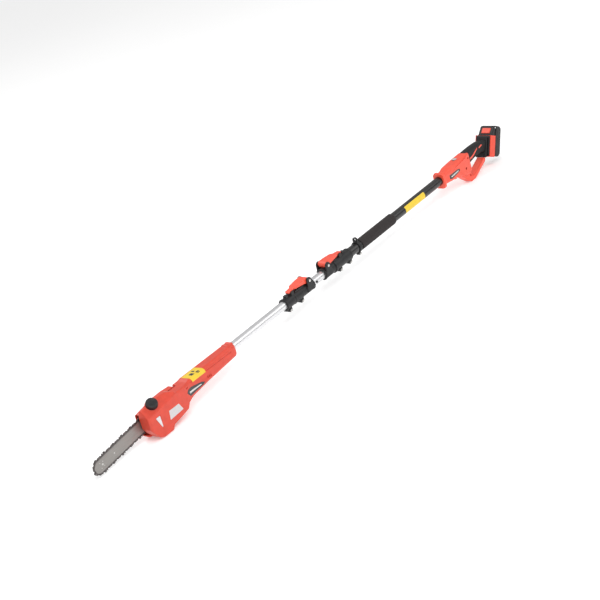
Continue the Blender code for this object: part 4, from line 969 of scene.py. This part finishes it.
def build_battery():
    soften("battery_dock", "moulding", "root", "black_plastic", 0.0008, 4)
    base = from_node("battery_base")
    for side in (-1, 1):
        cut(base, hexa([(0.009, side * 0.0305, 0.033), (0.009, side * 0.02, 0.033),
                        (0.002, side * 0.02, 0.033), (0.002, side * 0.0305, 0.033),
                        (0.03, side * 0.0305, 0.072), (0.0225, side * 0.0215, 0.072),
                        (0.002, side * 0.0215, 0.072), (0.002, side * 0.035, 0.072)], DOCK))
    melt(base, 0.0007, 3)
    finish(base, "battery_base_moulding", "battery", "black_plastic", ["battery_base"])
    cover = melt(from_node("battery_cover"), 0.0008, 6)
    for index in range(3):
        b = -0.018 + 0.026 * index
        cut(cover, block((0.046, -0.05, b), (0.0475, -0.0312, b + 0.018), DOCK),
            block((0.046, 0.0312, b), (0.0475, 0.05, b + 0.018), DOCK))
    finish(cover, "battery_cover_moulding", "battery", "black_plastic", ["battery_cover"])
    soften("battery_band", "moulding", "battery", "battery_orange", 0.0006, 2)
    soften("battery_latch", "button", "battery_latch", "lever_orange", 0.0005, 3)
    trim = block((0.0085, -0.025, 0.0318), (0.012, 0.025, 0.034), DOCK)
    melt(trim, 0.0005, 2)
    finish(trim, "battery_front_trim", "battery", "battery_orange")


def build_small_controls():
    soften("trigger", "moulding", "trigger", "black_plastic", 0.0004, 4)
    soften("lock_off_button", "moulding", "lock_off_button", "grey_plastic", 0.0003, 3)


build_handle()
build_overmould()
build_battery()
build_small_controls()


# --- finishes of the CAD nodes that stay ---------------------------------------------------------
for entry in frame["record"]["subparts"]:
    node = frame["nodes"][entry["node"]]
    node.data.materials.clear()
    node.data.materials.append(FINISH[entry["material_slot"]])


# --- tube label ----------------------------------------------------------------------------------
def build_tube_label():
    first, last, radius, points = 0.905, 1.022, 0.0161, 24
    shape = bmesh.new()
    rows = []
    for layer in (radius + 0.0002, radius - 0.0003):
        for end in (first, last):
            rows.append([shape.verts.new((end, -layer * math.cos(a), layer * math.sin(a)))
                         for a in (math.radians(-42.0 + 4.0 * k) for k in range(points))])
    outer_a, outer_b, inner_a, inner_b = rows
    for index in range(points - 1):
        shape.faces.new((outer_a[index], outer_b[index], outer_b[index + 1], outer_a[index + 1]))
        shape.faces.new((inner_a[index + 1], inner_b[index + 1], inner_b[index], inner_a[index]))
        shape.faces.new((outer_a[index + 1], inner_a[index + 1], inner_a[index], outer_a[index]))
        shape.faces.new((outer_b[index], inner_b[index], inner_b[index + 1], outer_b[index + 1]))
    for index in (0, points - 1):
        shape.faces.new((outer_a[index], inner_a[index], inner_b[index], outer_b[index]))
    finish(built("tube_label", shape), "tube_label", "root", "black_tube", material=YELLOW_LABEL)


build_tube_label()


# --- floor, light and camera ----------------------------------------------------------------------
def stage():
    shape = bmesh.new()
    bmesh.ops.create_grid(shape, x_segments=1, y_segments=1, size=30.0)
    floor = built("floor", shape, Matrix.Translation((0.0, 0.0, -0.0004)))
    material = bpy.data.materials.new("pale_floor")
    material.use_nodes = True
    shader = material.node_tree.nodes["Principled BSDF"]
    tint = ramp(material.node_tree, noise(material.node_tree, 0.8), [(0.3, 0.93), (0.7, 0.95)])
    material.node_tree.links.new(tint, shader.inputs["Base Color"])
    shader.inputs["Roughness"].default_value = 0.9
    shader.inputs["Emission Color"].default_value = (1.0, 1.0, 1.0, 1.0)
    shader.inputs["Emission Strength"].default_value = 0.24
    floor.data.materials.append(material)

    world = bpy.data.worlds.new("studio")
    world.use_nodes = True
    tree = world.node_tree
    background = tree.nodes["Background"]
    height = add(tree, "ShaderNodeSeparateXYZ")
    tree.links.new(add(tree, "ShaderNodeTexCoord").outputs["Generated"], height.inputs["Vector"])
    sky = ramp(tree, height.outputs["Z"], [(0.0, 0.34), (0.25, 0.6), (0.75, 1.0)])
    tree.links.new(sky, background.inputs["Color"])
    background.inputs["Strength"].default_value = 0.72
    bpy.context.scene.world = world
    for name, spot, size, power in (("key", (-1.6, -2.0, 3.2), 2.2, 68.0),
                                    ("fill", (2.2, -2.6, 2.4), 3.0, 30.0),
                                    ("rim", (0.3, 2.6, 2.8), 2.2, 30.0)):
        light = bpy.data.lights.new(name, "AREA")
        light.shape = "DISK"
        light.size = size
        light.energy = power
        lamp = bpy.data.objects.new(name, light)
        lamp.location = spot
        lamp.rotation_euler = (-Vector(spot)).to_track_quat("-Z", "Y").to_euler()
        bpy.context.scene.collection.objects.link(lamp)


CAMERA_LENS = 96.7
CAMERA_LEAN = math.radians(-0.35)     # shares out the pole's apparent bend in the photo


def camera():
    # the columns are the camera's right, up and back directions, each seen in the tool's frame
    turn = Matrix(((0.5996, 0.4768, -0.643), (-0.7565, 0.0756, -0.65), (-0.2617, 0.8753, 0.4066)))
    right, up, back = (Vector(turn.col[0]), Vector(turn.col[1]), Vector(turn.col[2]))
    right.normalize()
    up = (up - right * up.dot(right)).normalized()
    back = right.cross(up)
    lean = Matrix.Rotation(CAMERA_LEAN, 3, back)
    right, up = lean @ right, lean @ up
    basis = Matrix((right, up, back)).transposed()
    seen = Vector((-0.1954, -0.1337, -4.845))         # where u = 0 lies, seen from the camera
    data = bpy.data.cameras.new("camera")
    data.lens = CAMERA_LENS
    data.sensor_width = 36.0
    data.clip_start, data.clip_end = 0.1, 60.0
    made = bpy.data.objects.new("camera", data)
    made.matrix_world = Matrix.Translation(POLE_ORIGIN - basis @ seen) @ basis.to_4x4()
    bpy.context.scene.collection.objects.link(made)
    bpy.context.scene.camera = made


stage()
camera()
bpy.context.scene.view_settings.view_transform = "Standard"
